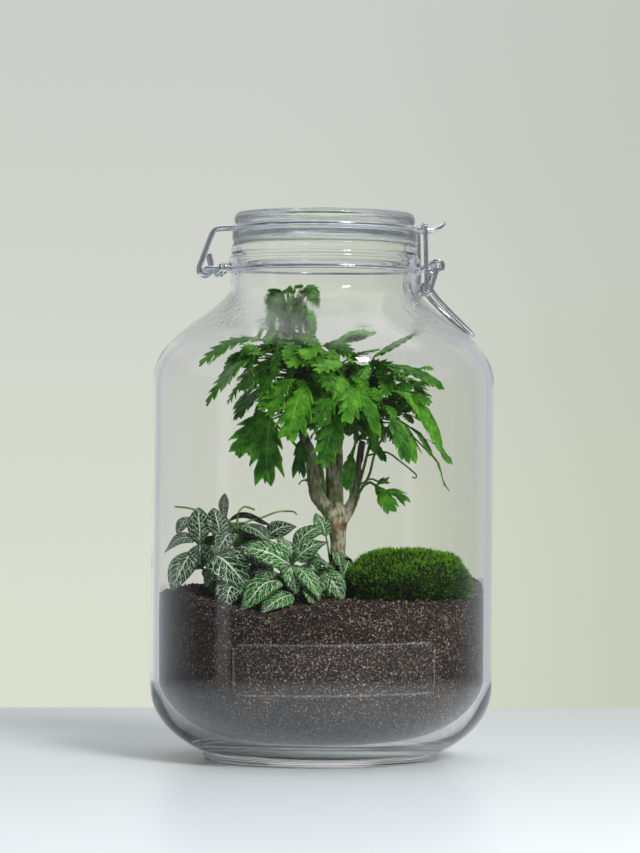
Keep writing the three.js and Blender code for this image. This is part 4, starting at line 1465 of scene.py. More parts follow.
@dataclass
class Trunk:
    """The tree's woody foot with its fork, cut stump and two woody limbs."""

    voxel: float = 0.62
    ridge: float = 0.46
    ridges_per_metre: Point = (520, 520, 150)
    foot: tuple = (
        (9.6, 10, 72, 3.4), (9.5, 10, 84, 4.3), (9.3, 10, 92, 5.6), (9.1, 10, 97, 4.6), (8.8, 10, 110, 4.2),
        (8.4, 10, 120, 4.5), (8, 10, 124.5, 5.6), (7.4, 10, 131, 6), (6.8, 11, 138, 4.9),
    )
    stump: tuple = (
        (7.2, 11, 134, 4.6), (6.6, 12.6, 145, 4.9), (6.2, 13.4, 160, 4.7), (6.4, 13.8, 176, 4.5),
        (6.8, 13.8, 190, 4.4),
    )
    left: tuple = (
        (7, 10, 129, 4.2), (2.4, 9.2, 134.5, 4.3), (-2, 8.4, 140, 4.1), (-4.4, 7.4, 148, 3.8),
        (-5.2, 6.4, 157, 3.6), (-7.6, 5.4, 166, 3.1), (-11, 4.6, 175, 2.5),
    )
    right: tuple = (
        (9.6, 10, 127, 3.6), (14, 9.2, 132.5, 3.3), (17.2, 8.6, 140, 2.8), (18.8, 8.2, 151, 2.3),
        (20, 8, 162, 2), (21.6, 8, 171, 1.9),
    )
    knots: tuple = (
        ((3.2, 6.6, 128, 2.6), (5.4, 5.6, 131, 2.9), (7.6, 5.8, 133.5, 2.3)),
        ((11.6, 6.4, 126.5, 2.1), (13.4, 6.2, 129.5, 1.9)),
        ((-0.4, 6, 137, 1.9), (0.8, 5.8, 139.6, 1.6)),
    )
    snag: tuple = (
        (-5, 7, 147.5, 0.8), (-8.6, 6, 149.4, 0.7), (-11.4, 5.6, 149, 0.65), (-12.8, 5.4, 146.6, 0.6),
    )

    def build(self) -> None:
        """Joins the limbs, melts their joints together and roughens the bark."""
        limbs = [self.foot, self.stump, self.left, self.right, self.snag, *self.knots]
        routes = [smoothed(limb, 5) for limb in limbs]
        trunk = tubes("trunk", routes, 1, 3)
        apply_modifier(trunk, "REMESH", mode="VOXEL", voxel_size=self.voxel * MM)
        apply_modifier(trunk, "SMOOTH", factor=0.5, iterations=6)
        rows = places(trunk.data)
        normals = np.empty(len(rows) * 3)
        trunk.data.vertices.foreach_get("normal", normals)
        ridges = np.array([
            noise.fractal(Vector(row * self.ridges_per_metre), 1.0, 2.0, 3)
            + 0.8 * noise.noise(Vector(row) * 170)
            for row in rows
        ])
        put(trunk.data, rows + normals.reshape(-1, 3) * (self.ridge * MM * ridges)[:, None])
        turn_in(trunk)
        smooth(trunk, 80)
        GreyBark().put_on(trunk)
        finished(trunk, Body.JAR, ["tree_trunk"])


@dataclass
class Leaf:
    """One leaf: the height of its root on the stem, its base and tip, half-width, arch, roll and lobes."""

    root: float
    base: Point
    tip: Point
    width: float
    arch: float
    roll: float = 0.0
    lobes: int = 5


class Shape(Enum):
    """How deep the lobes of a leaf are cut: none, like an oak's, or like a fern's."""

    OVAL = 0.0
    BROAD = 0.5
    FERN = 0.8


@dataclass
class BladePattern:
    """A flat leaf blade, modelled once and bent onto each leaf's own spine.

    Its width runs from -1 to 1 in x and its length from 0 to 1 in y; z is in half-widths.
    """

    shape: Shape
    lobes: int = 5
    columns: int = 4
    thickness: float = 0.045
    twist: float = 40.0
    widest: float = 0.62
    side_tooth: Point = (0.26, 0.26, 0.09)

    def __post_init__(self) -> None:
        """Models the flat blade."""
        rows = 18 if self.shape is Shape.OVAL else self.lobes * 8 + 2
        bpy.ops.mesh.primitive_grid_add(x_subdivisions=self.columns, y_subdivisions=rows, size=2)
        blade = bpy.context.object
        flat = places(blade.data)
        across, along = flat[:, 0], (flat[:, 1] + 1) / 2
        put(blade.data, self.oval(across, along) if self.shape is Shape.OVAL else self.lobed(across, along))
        if self.shape is not Shape.OVAL:
            uv = blade.data.uv_layers["UVMap"].data
            for loop in uv:
                loop.uv.y = loop.uv.y * self.lobes
        apply_modifier(blade, "SOLIDIFY", thickness=self.thickness, offset=0)
        self.rows = places(blade.data)
        self.mesh = blade.data
        bpy.data.objects.remove(blade)

    def lobed(self, across: np.ndarray, along: np.ndarray) -> np.ndarray:
        """The blade of a lobed leaf: toothed lobes that point forward.

        Args:
            across: -1 to 1 over the blade.
            along: 0 to 1 from its base to its tip.

        Returns:
            The flat blade's points.
        """
        phase = (along * self.lobes + np.where(across > 0, 0.4, 0)) % 1.0
        last = np.clip((along - 1 + 1 / self.lobes) * self.lobes, 0, 1)
        rise = np.clip(phase / self.widest, 0, 1)
        fall = np.clip((1 - phase) / (1 - self.widest), 0, 1)
        tooth = np.where(phase < self.widest, rise**0.9, fall**1.5)
        size, middle, spread = self.side_tooth
        notch = size * np.exp(-(((phase - middle) / spread) ** 2))
        envelope = np.sin(math.pi * np.clip(along, 0, 1) ** 0.78) ** 0.6
        depth = self.shape.value
        width = envelope * (1 - depth + depth * (tooth + notch))
        width = width * (1 - last) + np.minimum(width, 0.3 * (1 - along) * self.lobes) * last
        width = np.maximum(width, 0.03)
        forward = across**2 * (0.5 + 0.8 * tooth) / self.lobes * envelope
        wave = np.sin(2 * math.pi * along * self.lobes)
        droop = -0.25 * across**2 * width + 0.14 * wave * across**2 * width
        fold = 0.16 * np.abs(across) * width
        return np.stack([across * width, along + forward, droop + fold], 1)

    def oval(self, across: np.ndarray, along: np.ndarray) -> np.ndarray:
        """The blade of a nerve leaf: a pointed oval that swells between its side veins.

        Args:
            across: -1 to 1 over the blade.
            along: 0 to 1 from its base to its tip.

        Returns:
            The flat blade's points.
        """
        width = np.maximum(np.sin(math.pi * along**0.86) ** 0.72 * (1 - 0.12 * along**3), 0.04)
        rows = (along - VEIN_SWEEP * np.abs(across) ** VEIN_BEND) * SIDE_VEINS
        quilt = 0.05 * np.abs(np.sin(math.pi * rows)) ** 0.7 * (1 - across**4)
        fold = 0.2 * np.abs(across) * width - 0.16 * across**2 * width
        return np.stack([across * width, along, quilt + fold], 1)

    def bent(self, name: str, leaf: Leaf, facing: np.ndarray) -> Object:
        """Copies the blade onto a leaf's arched spine.

        Args:
            name: The new object's name.
            leaf: The leaf, in millimetres.
            facing: The direction that its upper face looks to.

        Returns:
            The leaf's own mesh object.
        """
        base, tip = np.array(leaf.base, float), np.array(leaf.tip, float)
        control = (base + tip) / 2 + np.array([0, 0, leaf.arch]) + facing * leaf.arch * 0.4
        s = np.clip(self.rows[:, 1], 0, 1)[:, None]
        middle = (1 - s) ** 2 * base + 2 * (1 - s) * s * control + s * s * tip
        along = (1 - s) * (control - base) + s * (tip - control)
        along /= np.linalg.norm(along, axis=1)[:, None]
        middle = middle + along * (self.rows[:, 1:2] - s) * np.linalg.norm(tip - base)
        across = np.cross(along, facing)
        across /= np.linalg.norm(across, axis=1)[:, None]
        above = np.cross(across, along)
        rng = np.random.default_rng(int(abs(tip @ np.array([31, 57, 83]))))
        roll = np.radians(leaf.roll + rng.uniform(-self.twist, self.twist) * (s - 0.3))
        cos, sin = np.cos(roll), np.sin(roll)
        across, above = across * cos - above * sin, above * cos + across * sin
        middle = middle + above * (rng.uniform(-0.1, 0.25) * np.sin(s * 5) * leaf.width)
        rows = middle + across * self.rows[:, :1] * leaf.width + above * self.rows[:, 2:] * leaf.width
        mesh = self.mesh.copy()
        put(mesh, rows * MM)
        tone = np.full(len(rows), rng.random(), np.float32)
        mesh.attributes.new("tone", "FLOAT", "POINT").data.foreach_set("value", tone)
        return linked(name, mesh)


@dataclass
class LeafyStem:
    """One leafy stem: its green stem, petioles and leaves, of one leaf kind."""

    name: str
    node: str
    stem: tuple
    leaves: list[Leaf]
    axis: Pair
    leaf_slot: Slot
    tilt: Point = (0, 0, 0.8)
    outward: float = 0.75
    petiole_radius: float = 0.55

    def facing(self, leaf: Leaf) -> np.ndarray:
        """The direction that a leaf's upper face looks to: outward from the plant's axis, and up.

        Args:
            leaf: The leaf.

        Returns:
            A unit vector.
        """
        middle = (np.array(leaf.base, float) + np.array(leaf.tip, float)) / 2
        out = np.array([middle[0] - self.axis[0], middle[1] - self.axis[1], 0])
        facing = out / max(np.linalg.norm(out), 1e-6) * self.outward + np.array(self.tilt)
        return facing / np.linalg.norm(facing)

    def petiole(self, leaf: Leaf) -> Route:
        """A slim arched stalk from a leaf's root to a little way into its blade.

        Args:
            leaf: The leaf.

        Returns:
            The points of the stalk, each with its share of the radius.
        """
        root = station_at(self.stem, leaf.root)
        base = np.array(leaf.base, float)
        rise = root + (base - root) * 0.55 + np.array([0, 0, np.linalg.norm(base - root) * 0.12])
        inner = base + (np.array(leaf.tip, float) - base) * 0.06
        route = []
        for t in np.linspace(0, 1, 7):
            point = (1 - t) ** 2 * root + 2 * (1 - t) * t * rise + t * t * base
            route.append((*point, 1.15 - 0.45 * t))
        route.append((*inner, 0.45))
        return route

    def build(self, patterns: Callable[[Leaf], BladePattern], blade: Material, stalk: Material) -> None:
        """Grows the stem with its petioles, and the leaves as a piece of their own.

        Args:
            patterns: Gives the blade that suits a leaf.
            blade: The leaves' material.
            stalk: The stem's material.
        """
        blades = [
            patterns(leaf).bent(f"{self.name}_{k}", leaf, self.facing(leaf))
            for k, leaf in enumerate(self.leaves)
        ]
        leaves = turn_in(joined(blades, f"{self.name}_leaves"))
        leaves.data.materials.clear()
        leaves.data.materials.append(blade)
        smooth(leaves, 60)
        finished(leaves, Body.JAR, [self.node])
        stem = tubes(f"{self.name}_main", [smoothed(self.stem, 4)], 1, 2)
        stalks = [self.petiole(leaf) for leaf in self.leaves]
        petioles = tubes(f"{self.name}_petioles", stalks, self.petiole_radius, 1)
        whole = turn_in(joined([stem, petioles], f"{self.name}_stem"))
        whole.data.materials.append(stalk)
        finished(whole, Body.JAR)


@dataclass(frozen=True)
class Cluster:
    """Small leaves between two heights of a stem: how many, the seed of their differences, their size."""

    low: float
    high: float
    count: int
    seed: int
    size: float = 1


@dataclass
class Tree:
    """The tree's crown: leafy stems of lobed leaves on the woody limbs."""

    axis: Pair = (3.0, 8.0)
    left_stem: tuple = (
        (-11.3, 4.55, 175.3, 2.3), (-14, 3.8, 186, 2.1), (-16.2, 3.2, 201, 1.8), (-17.6, 3, 217, 1.5),
        (-18.4, 3, 232, 1),
    )
    shoots: tuple = (
        ((16.8, 8.4, 137.5, 0.9), (20.6, 6, 150, 0.85), (24.6, 3, 166, 0.8), (29, 1, 184, 0.7)),
        ((17.6, 8, 139, 0.8), (25, 4, 152, 0.75), (28.4, 2, 165, 0.7), (36, -2, 180, 0.6)),
        ((15.6, 7.6, 140, 0.8), (14.6, 4, 155, 0.8), (17.6, 2, 170, 0.7), (20, 0, 188, 0.6)),
        ((-4.6, 6.4, 150, 0.8), (-10.6, 3, 163, 0.75), (-18, -2, 172, 0.7), (-27, -8, 181, 0.6)),
        ((1.6, 8, 140, 1.1), (-0.6, 5.6, 156, 1), (-2.6, 3.4, 172, 0.95), (-6, 1, 190, 0.8)),
    )
    tendrils: tuple = (
        ((24, 3, 163, 0.55), (34, 1, 165, 0.5), (42, 0, 160, 0.45), (48, -1, 155.2, 0.45),
         (50.6, -1, 152.8, 0.45), (50, -1.6, 151.2, 0.4), (48.2, -1.6, 151.8, 0.35)),
        ((19.6, 5.6, 147, 0.5), (26, 4, 150.4, 0.5), (31, 2, 149, 0.45), (36, 0, 151.5, 0.4)),
    )
    centre_stem: tuple = ((7.2, 13.8, 190.5, 1.9), (7.8, 13.4, 203, 1.7), (8.4, 13, 216, 1.1))
    right_stem: tuple = ((21.7, 8, 171.6, 1.7), (23.6, 8, 186, 1.6), (25, 8.2, 198, 1.4), (26, 8.4, 208, 1))
    sprig_stem: tuple = ((21.4, 7.4, 146.2, 0.9), (23.6, 5.6, 147.6, 0.8), (25.8, 3.8, 148.8, 0.7))
    left: list[Leaf] = field(default_factory=lambda: [
        Leaf(222, (-24, -3, 224), (-67, -10, 212), 5.6, 13, -15, 8),
        Leaf(220, (-28, -10, 222), (-62, -22, 189), 5.8, 9, 0, 8),
        Leaf(216, (-37, -17, 218), (-40, -26, 194), 5, 3, 20, 6),
        Leaf(209, (-20, -14, 211), (-34, -28, 194), 6, 5, 10, 6),
        Leaf(203, (-14, -17, 204), (-30, -32, 188), 6.5, 5),
        Leaf(200, (-17, -20, 204), (-28, -38, 183), 6, 4),
        Leaf(188, (-28, -9, 185), (-46, -19, 163), 8.5, 5, -45, 4),
        Leaf(186, (-28, -11, 183), (-30, -24, 149), 10, 4, -45, 3),
        Leaf(186, (-32, -11, 179), (-39, -21, 163), 6, 3, -45, 3),
        Leaf(180, (-12, -5, 171), (-12, -10, 154), 5.4, 2, -25, 2),
        Leaf(199, (-9, -22, 200), (-18, -38, 171), 10.5, 5, 0, 4),
        Leaf(226, (-20, -1, 232), (-33, -7, 228), 4, 3, 0, 6),
        Leaf(229, (-20, 1, 238), (-30, -2, 237), 3.4, 2),
        Leaf(228, (-14, 4, 237), (-5, 0, 231), 3.4, 3),
        Leaf(226, (-14, -5, 230), (-6, -16, 224), 4.2, 3),
        Leaf(218, (-9, -6, 225), (-21, -17, 218), 5.5, 4),
        Leaf(231, (-21, 2, 243), (-30, -4, 249), 3.4, 2),
        Leaf(231, (-15, 5, 244), (-7, 9, 250), 3.4, 2),
        Leaf(221, (-35, 5, 229), (-63, 6, 214), 5.5, 7, -10, 7),
        Leaf(217, (-37, 16, 223), (-57, 24, 203), 6, 7, 0, 6),
        Leaf(215, (-24, 20, 222), (-38, 44, 201), 7, 7),
        Leaf(222, (-14, 20, 229), (-12, 46, 218), 6.5, 7),
        Leaf(196, (-24, 16, 203), (-48, 32, 182), 7, 7),
    ])
    centre: list[Leaf] = field(default_factory=lambda: [
        Leaf(203, (-7, -19, 195), (-4, -32, 176), 6, 4),
        Leaf(205, (5, -23, 195), (-3, -38, 179), 7.5, 5, 0, 4),
        Leaf(200, (9, -18, 186), (0, -32, 157), 8.5, 6),
        Leaf(207, (16, -23, 199), (13, -40, 181), 6.5, 4, 0, 4),
        Leaf(208, (4, -19, 206), (12, -31, 190), 6.5, 4, 0, 4),
        Leaf(209, (-3, -19, 208), (5, -32, 197), 6, 4),
        Leaf(209, (1, -8, 213), (-11, -19, 214), 5.5, 3),
        Leaf(210, (9, -10, 211), (23, -19, 213), 5.5, 3),
        Leaf(211, (1, -10, 221), (-19, -28, 212), 6.5, 4, 0, 6),
        Leaf(210, (10, -12, 215), (-3, -36, 207), 7, 4),
        Leaf(211, (3, 2, 224), (25, 4, 233), 5, 2, 0, 6),
        Leaf(214, (8, 4, 225), (28, -3, 233), 6, 3, 0, 6),
        Leaf(212, (13, -4, 217), (29, -20, 221), 6, 3, 0, 6),
        Leaf(213, (10, 28, 217), (12, 58, 203), 7, 7),
        Leaf(206, (1, 28, 204), (-12, 56, 186), 7, 7),
        Leaf(203, (12, 28, 194), (19, 50, 170), 7, 6),
    ])
    right: list[Leaf] = field(default_factory=lambda: [
        Leaf(205, (27, 1, 219), (55, -6, 235), 7, 0, 25, 8),
        Leaf(204, (34, -4, 214), (65, -12, 199), 7, 4, 20, 7),
        Leaf(198, (35, -7, 199), (64, -20, 165), 7.5, 12, 10, 9),
        Leaf(204, (31, -6, 210), (40, -18, 210), 5, 2, 0, 4),
        Leaf(199, (15, -17, 200), (31, -34, 174), 7, 5, 0, 6),
        Leaf(198, (21, -16, 196), (26, -27, 179), 6.5, 4),
        Leaf(190, (55, -5, 172), (69, -10, 159), 4.2, 3),
        Leaf(190, (56, -4, 166), (68, -10, 145), 4, 3),
        Leaf(189, (38, -14, 183), (48, -22, 161), 8.5, 4, 0, 3),
        Leaf(188, (36, -20, 184), (44, -36, 160), 7, 5, 0, 4),
        Leaf(192, (45, 6, 186), (69, 6, 160), 6, 8, 0, 6),
        Leaf(184, (16, -15, 183), (28, -24, 171), 5.5, 3, 0, 4),
        Leaf(180, (23, -10, 172), (33, -16, 160), 4.5, 3, 0, 4),
        Leaf(176, (15, -2, 164), (13, -8, 145), 5, 2, 0, 4),
        Leaf(200, (36, 20, 206), (60, 34, 192), 7, 7, 0, 6),
        Leaf(190, (30, 24, 190), (46, 46, 168), 7, 7),
    ])
    sprig: list[Leaf] = field(default_factory=lambda: [
        Leaf(148.5, (28.6, 0.5, 146.5), (38, -4, 133.5), 6.6, 1.5, -14, 3),
        Leaf(148.5, (33.5, 1, 144), (45, -1, 139), 3.4, 3, 25, 2),
        Leaf(148.7, (29, 2.5, 147), (35, 4, 150), 2.6, 1, 0, 2),
    ])

    @staticmethod
    def young(stem: Route, cluster: Cluster) -> list[Leaf]:
        """Small leaves that fill a stem's crown, each turned on by the golden angle.

        Args:
            stem: The stem's stations.
            cluster: Where they are, how many and how large.

        Returns:
            The leaves.
        """
        rng = np.random.default_rng(cluster.seed)
        size = cluster.size
        leaves = []
        for k in range(cluster.count):
            root = cluster.low + (cluster.high - cluster.low) * (k + 0.5) / cluster.count
            turn = GOLDEN_TURN * k + rng.uniform(-0.3, 0.3)
            out = np.array([math.cos(turn), math.sin(turn), 0])
            start = station_at(stem, root)
            reach, length = rng.uniform(4, 24) * size, rng.uniform(12, 22) * size
            base = start + out * reach + np.array([0, 0, rng.uniform(-3, 7)])
            base[2] += max(root - stem[-1][2], 0)
            side = np.array([-out[1], out[0], 0]) * rng.uniform(-0.5, 0.5)
            tip = base + (out * 0.75 + side) * length + np.array([0, 0, -length * rng.uniform(-0.25, 1.0)])
            width, arch, roll = rng.uniform(3.4, 5.6) * size**0.5, rng.uniform(2, 5), rng.uniform(-40, 40)
            leaves.append(Leaf(root, tuple(base), tuple(tip), width, arch, roll, int(rng.integers(5, 7))))
        return leaves

    def build(self) -> None:
        """Grows the four leafy stems."""
        made: dict[tuple[Shape, int], BladePattern] = {}

        def pattern(leaf: Leaf) -> BladePattern:
            """The blade for a leaf: ferny, or broad where it has few lobes.

            Args:
                leaf: The leaf.

            Returns:
                A blade of its number of lobes.
            """
            shape = Shape.BROAD if leaf.lobes < 5 else Shape.FERN
            key = (shape, leaf.lobes)
            if key not in made:
                made[key] = BladePattern(shape, leaf.lobes)
            return made[key]

        leaf = GlossyLeaf(
            "tree_leaf", deep=(0.012, 0.075, 0.005), middle=(0.055, 0.24, 0.012), bright=(0.17, 0.5, 0.025),
            vein=(0.24, 0.52, 0.07),
        )
        blade, stalk = leaf.material(), GreenStem("tree_stem").material()
        crown = {"axis": self.axis, "leaf_slot": Slot.TREE_LEAF}
        for name, node, stem, leaves, clusters in (
            ("crown_left", "tree_leaves_left", self.left_stem, self.left,
             [Cluster(194, 225, 100, 3), Cluster(219, 240, 56, 9, 0.48), Cluster(238, 246, 22, 4, 0.5)]),
            ("crown_centre", "tree_leaves_centre", self.centre_stem, self.centre, [Cluster(192, 214, 84, 5)]),
            ("crown_right", "tree_leaves_right", self.right_stem, self.right, [Cluster(180, 210, 96, 7)]),
        ):
            small = [leaf for cluster in clusters for leaf in self.young(stem, cluster)]
            LeafyStem(name, node, stem, leaves + small, **crown).build(pattern, blade, stalk)
        LeafyStem(
            "sprig", "tree_sprig", self.sprig_stem, self.sprig, **crown, tilt=(0, -0.9, 0.45), outward=0.15,
        ).build(pattern, blade, stalk)
        routes = [smoothed(route, 5) for route in (*self.shoots, *self.tendrils)]
        side_shoots = turn_in(tubes("side_shoots", routes, 1, 2))
        side_shoots.data.materials.append(stalk)
        finished(side_shoots, Body.JAR)


@dataclass
class NervePlant:
    """One nerve plant: its node's name, its stem, whether its leaves are fresh and light, and its leaves."""

    name: str
    stem: tuple
    light: bool
    leaves: list[Leaf]


@dataclass
class NervePlants:
    """The white-veined plants at the front left: four stems with oval leaves."""

    plants: list[NervePlant] = field(default_factory=lambda: [
        NervePlant(
            "nerve_plant_left",
            ((-58, -8, 84, 1.3), (-59, -9, 96, 1.2), (-61, -11, 108, 1.1), (-63, -12, 119, 0.9)),
            False,
            [
                Leaf(116, (-69.5, -12, 129), (-77, -18, 121), 5, 2),
                Leaf(117, (-64.5, -20, 116), (-66, -14, 134), 6.6, 1),
                Leaf(116, (-64.5, -21, 115), (-64, -26, 102), 6, 2),
                Leaf(108, (-68, -15, 117), (-83.5, -19, 111), 6.5, 4),
                Leaf(102, (-68, -21, 111), (-77.5, -32, 91), 8, 3),
                Leaf(112, (-59, -18, 114), (-55, -30, 103), 7, 3),
                Leaf(118, (-54, -20, 119), (-58, -12, 134), 6.5, 1),
                Leaf(98, (-62, -20, 105), (-71, -27, 103), 5, 2),
                Leaf(100, (-58, -22, 103), (-54, -34, 92), 7, 3),
                Leaf(118, (-62, -6, 122), (-66, 11, 127), 7, 3),
                Leaf(106, (-64, 0, 110), (-70, 18, 104), 8, 4),
                Leaf(112, (-57, -4, 118), (-48, 6, 122), 7, 4),
            ],
        ),
        NervePlant(
            "nerve_plant_middle",
            ((-42, -24, 84, 1.3), (-43, -24, 96, 1.2), (-44, -25, 110, 1.1), (-44, -25, 124, 0.9)),
            False,
            [
                Leaf(106, (-57, -33, 108), (-39, -54, 95), 10.5, 4),
                Leaf(98, (-45, -44, 93), (-50, -60, 84), 8, 3),
                Leaf(122, (-51, -24, 129), (-52, -27, 142), 5.6, 1),
                Leaf(121, (-50, -15, 127), (-28, -17, 127), 6.5, 3),
                Leaf(118, (-43, -22, 125), (-28, -34, 117), 7.5, 3),
                Leaf(116, (-29, -20, 119), (-14, -15, 125), 7.5, 3),
                Leaf(110, (-45, -31, 113), (-30, -42, 105), 8, 4),
                Leaf(104, (-38, -33, 104), (-27, -45, 93), 8, 3),
                Leaf(102, (-51, -32, 101), (-60, -43, 93), 7, 3),
                Leaf(114, (-46, -30, 120), (-55, -40, 112), 6.5, 3),
                Leaf(113, (-48, -18, 120), (-45, 0, 126), 7, 3),
                Leaf(110, (-38, -14, 117), (-32, 6, 116), 8, 4),
                Leaf(108, (-30, -22, 110), (-18, -28, 112), 7, 3),
            ],
        ),
        NervePlant(
            "nerve_plant_front",
            ((-19, -48, 82, 1.3), (-19, -48, 92, 1.2), (-18.5, -48, 101, 0.9)),
            True,
            [
                Leaf(100, (-17, -49, 105), (-39, -54, 114), 9.5, 3),
                Leaf(100, (-13, -46, 108), (3, -47, 118), 9.5, 2),
                Leaf(93, (-21, -55, 96), (-41, -68, 84), 9, 4),
                Leaf(92, (-15, -58, 90), (-30, -73, 81), 7, 3),
                Leaf(98, (-13, -50, 104), (-1, -62, 88), 7, 3),
                Leaf(99, (-17, -51, 105), (-13, -60, 91), 5.6, 2),
                Leaf(97, (-13, -32, 112), (-1, -25, 127), 8.5, 2),
                Leaf(97, (-16, -38, 106), (-20, -26, 120), 8, 3),
                Leaf(94, (-8, -54, 92), (-3, -64, 84), 5, 2),
                Leaf(95, (-24, -50, 100), (-33, -58, 96), 7, 3),
                Leaf(96, (-8, -40, 104), (6, -40, 105), 7, 3),
            ],
        ),
        NervePlant(
            "nerve_plant_right",
            ((3, -26, 84, 1.2), (4, -27, 95, 1.1), (5, -28, 104, 0.9)),
            True,
            [
                Leaf(100, (0, -36, 102), (11, -48, 87), 7, 3),
                Leaf(98, (0, -35, 99), (-3, -50, 90), 6.5, 3),
                Leaf(102, (8, -22, 108), (17, -16, 107), 4.5, 2),
                Leaf(101, (15, -18, 108), (11, -30, 98), 5, 2),
                Leaf(103, (2, -16, 120), (-3, -8, 132), 5.5, 1),
                Leaf(103, (5, -22, 111), (11, -28, 104), 5, 2),
                Leaf(96, (-3, -20, 101), (-10, -8, 104), 7, 3),
                Leaf(99, (0, -30, 106), (-10, -38, 108), 6.5, 3),
            ],
        ),
    ])
    bare_stalks: tuple = (
        ((-44, -25, 120, 0.8), (-40, -20, 127, 0.7), (-32, -16, 129.5, 0.6), (-24, -14, 132.5, 0.55),
         (-16, -13, 132.8, 0.5), (-13.5, -13, 131, 0.4)),
        ((-63, -12, 117, 0.8), (-64, -12, 127, 0.7), (-67.5, -11, 132.5, 0.6), (-72, -10.5, 134.2, 0.55),
         (-79, -10, 134.8, 0.5)),
        ((-44, -25, 121, 0.7), (-45, -17, 130, 0.65), (-42, -12, 135, 0.6), (-36, -11, 133.5, 0.5)),
    )

    def build(self) -> None:
        """Grows the four plants."""
        pattern = BladePattern(Shape.OVAL, columns=14, thickness=0.05)
        deep = VeinedLeaf("nerve_leaf_dark", (0.006, 0.05, 0.007), (0.002, 0.016, 0.003), (0.72, 0.9, 0.66))
        fresh = VeinedLeaf("nerve_leaf_fresh", (0.022, 0.14, 0.014), (0.006, 0.05, 0.005), (0.8, 0.95, 0.7))
        stalk = GreenStem("nerve_stem", young=(0.1, 0.2, 0.04), old=(0.03, 0.06, 0.02)).material()
        dark, light = deep.material(), fresh.material()
        for plant in self.plants:
            leaves = plant.leaves + self.inner(plant.stem)
            LeafyStem(
                plant.name, plant.name, plant.stem, leaves, plant.stem[0][:2], Slot.VEINED_LEAF,
                tilt=(0, -0.35, 0.8), outward=0.55, petiole_radius=0.6,
            ).build(lambda leaf: pattern, light if plant.light else dark, stalk)
        routes = [smoothed(route, 5) for route in self.bare_stalks]
        stalks = turn_in(tubes("nerve_bare_stalks", routes, 1, 2))
        GreenStem("bare_stalk", young=(0.2, 0.34, 0.08), old=(0.1, 0.16, 0.04)).put_on(stalks)
        finished(stalks, Body.JAR)

    @staticmethod
    def inner(stem: Route) -> list[Leaf]:
        """The leaves in a plant's shade: low round its stem, and behind it.

        Args:
            stem: The plant's stem.

        Returns:
            The leaves.
        """
        rng = np.random.default_rng(int(abs(stem[0][0]) * 7))
        low, top = stem[0][2], stem[-1][2]
        leaves = []
        for k in range(8):
            root = low + (top - low) * (0.3 + 0.6 * k / 8)
            turn = math.radians(15 + (k * 137.5) % 150)
            out = np.array([math.cos(turn), math.sin(turn), 0])
            base = station_at(stem, root) + out * rng.uniform(4, 8) + np.array([0, 0, rng.uniform(1, 5)])
            tip = base + out * rng.uniform(13, 18) + np.array([0, 0, rng.uniform(-9, 3)])
            leaves.append(Leaf(root, tuple(base), tuple(tip), rng.uniform(5.5, 7.5), 3))
        return leaves


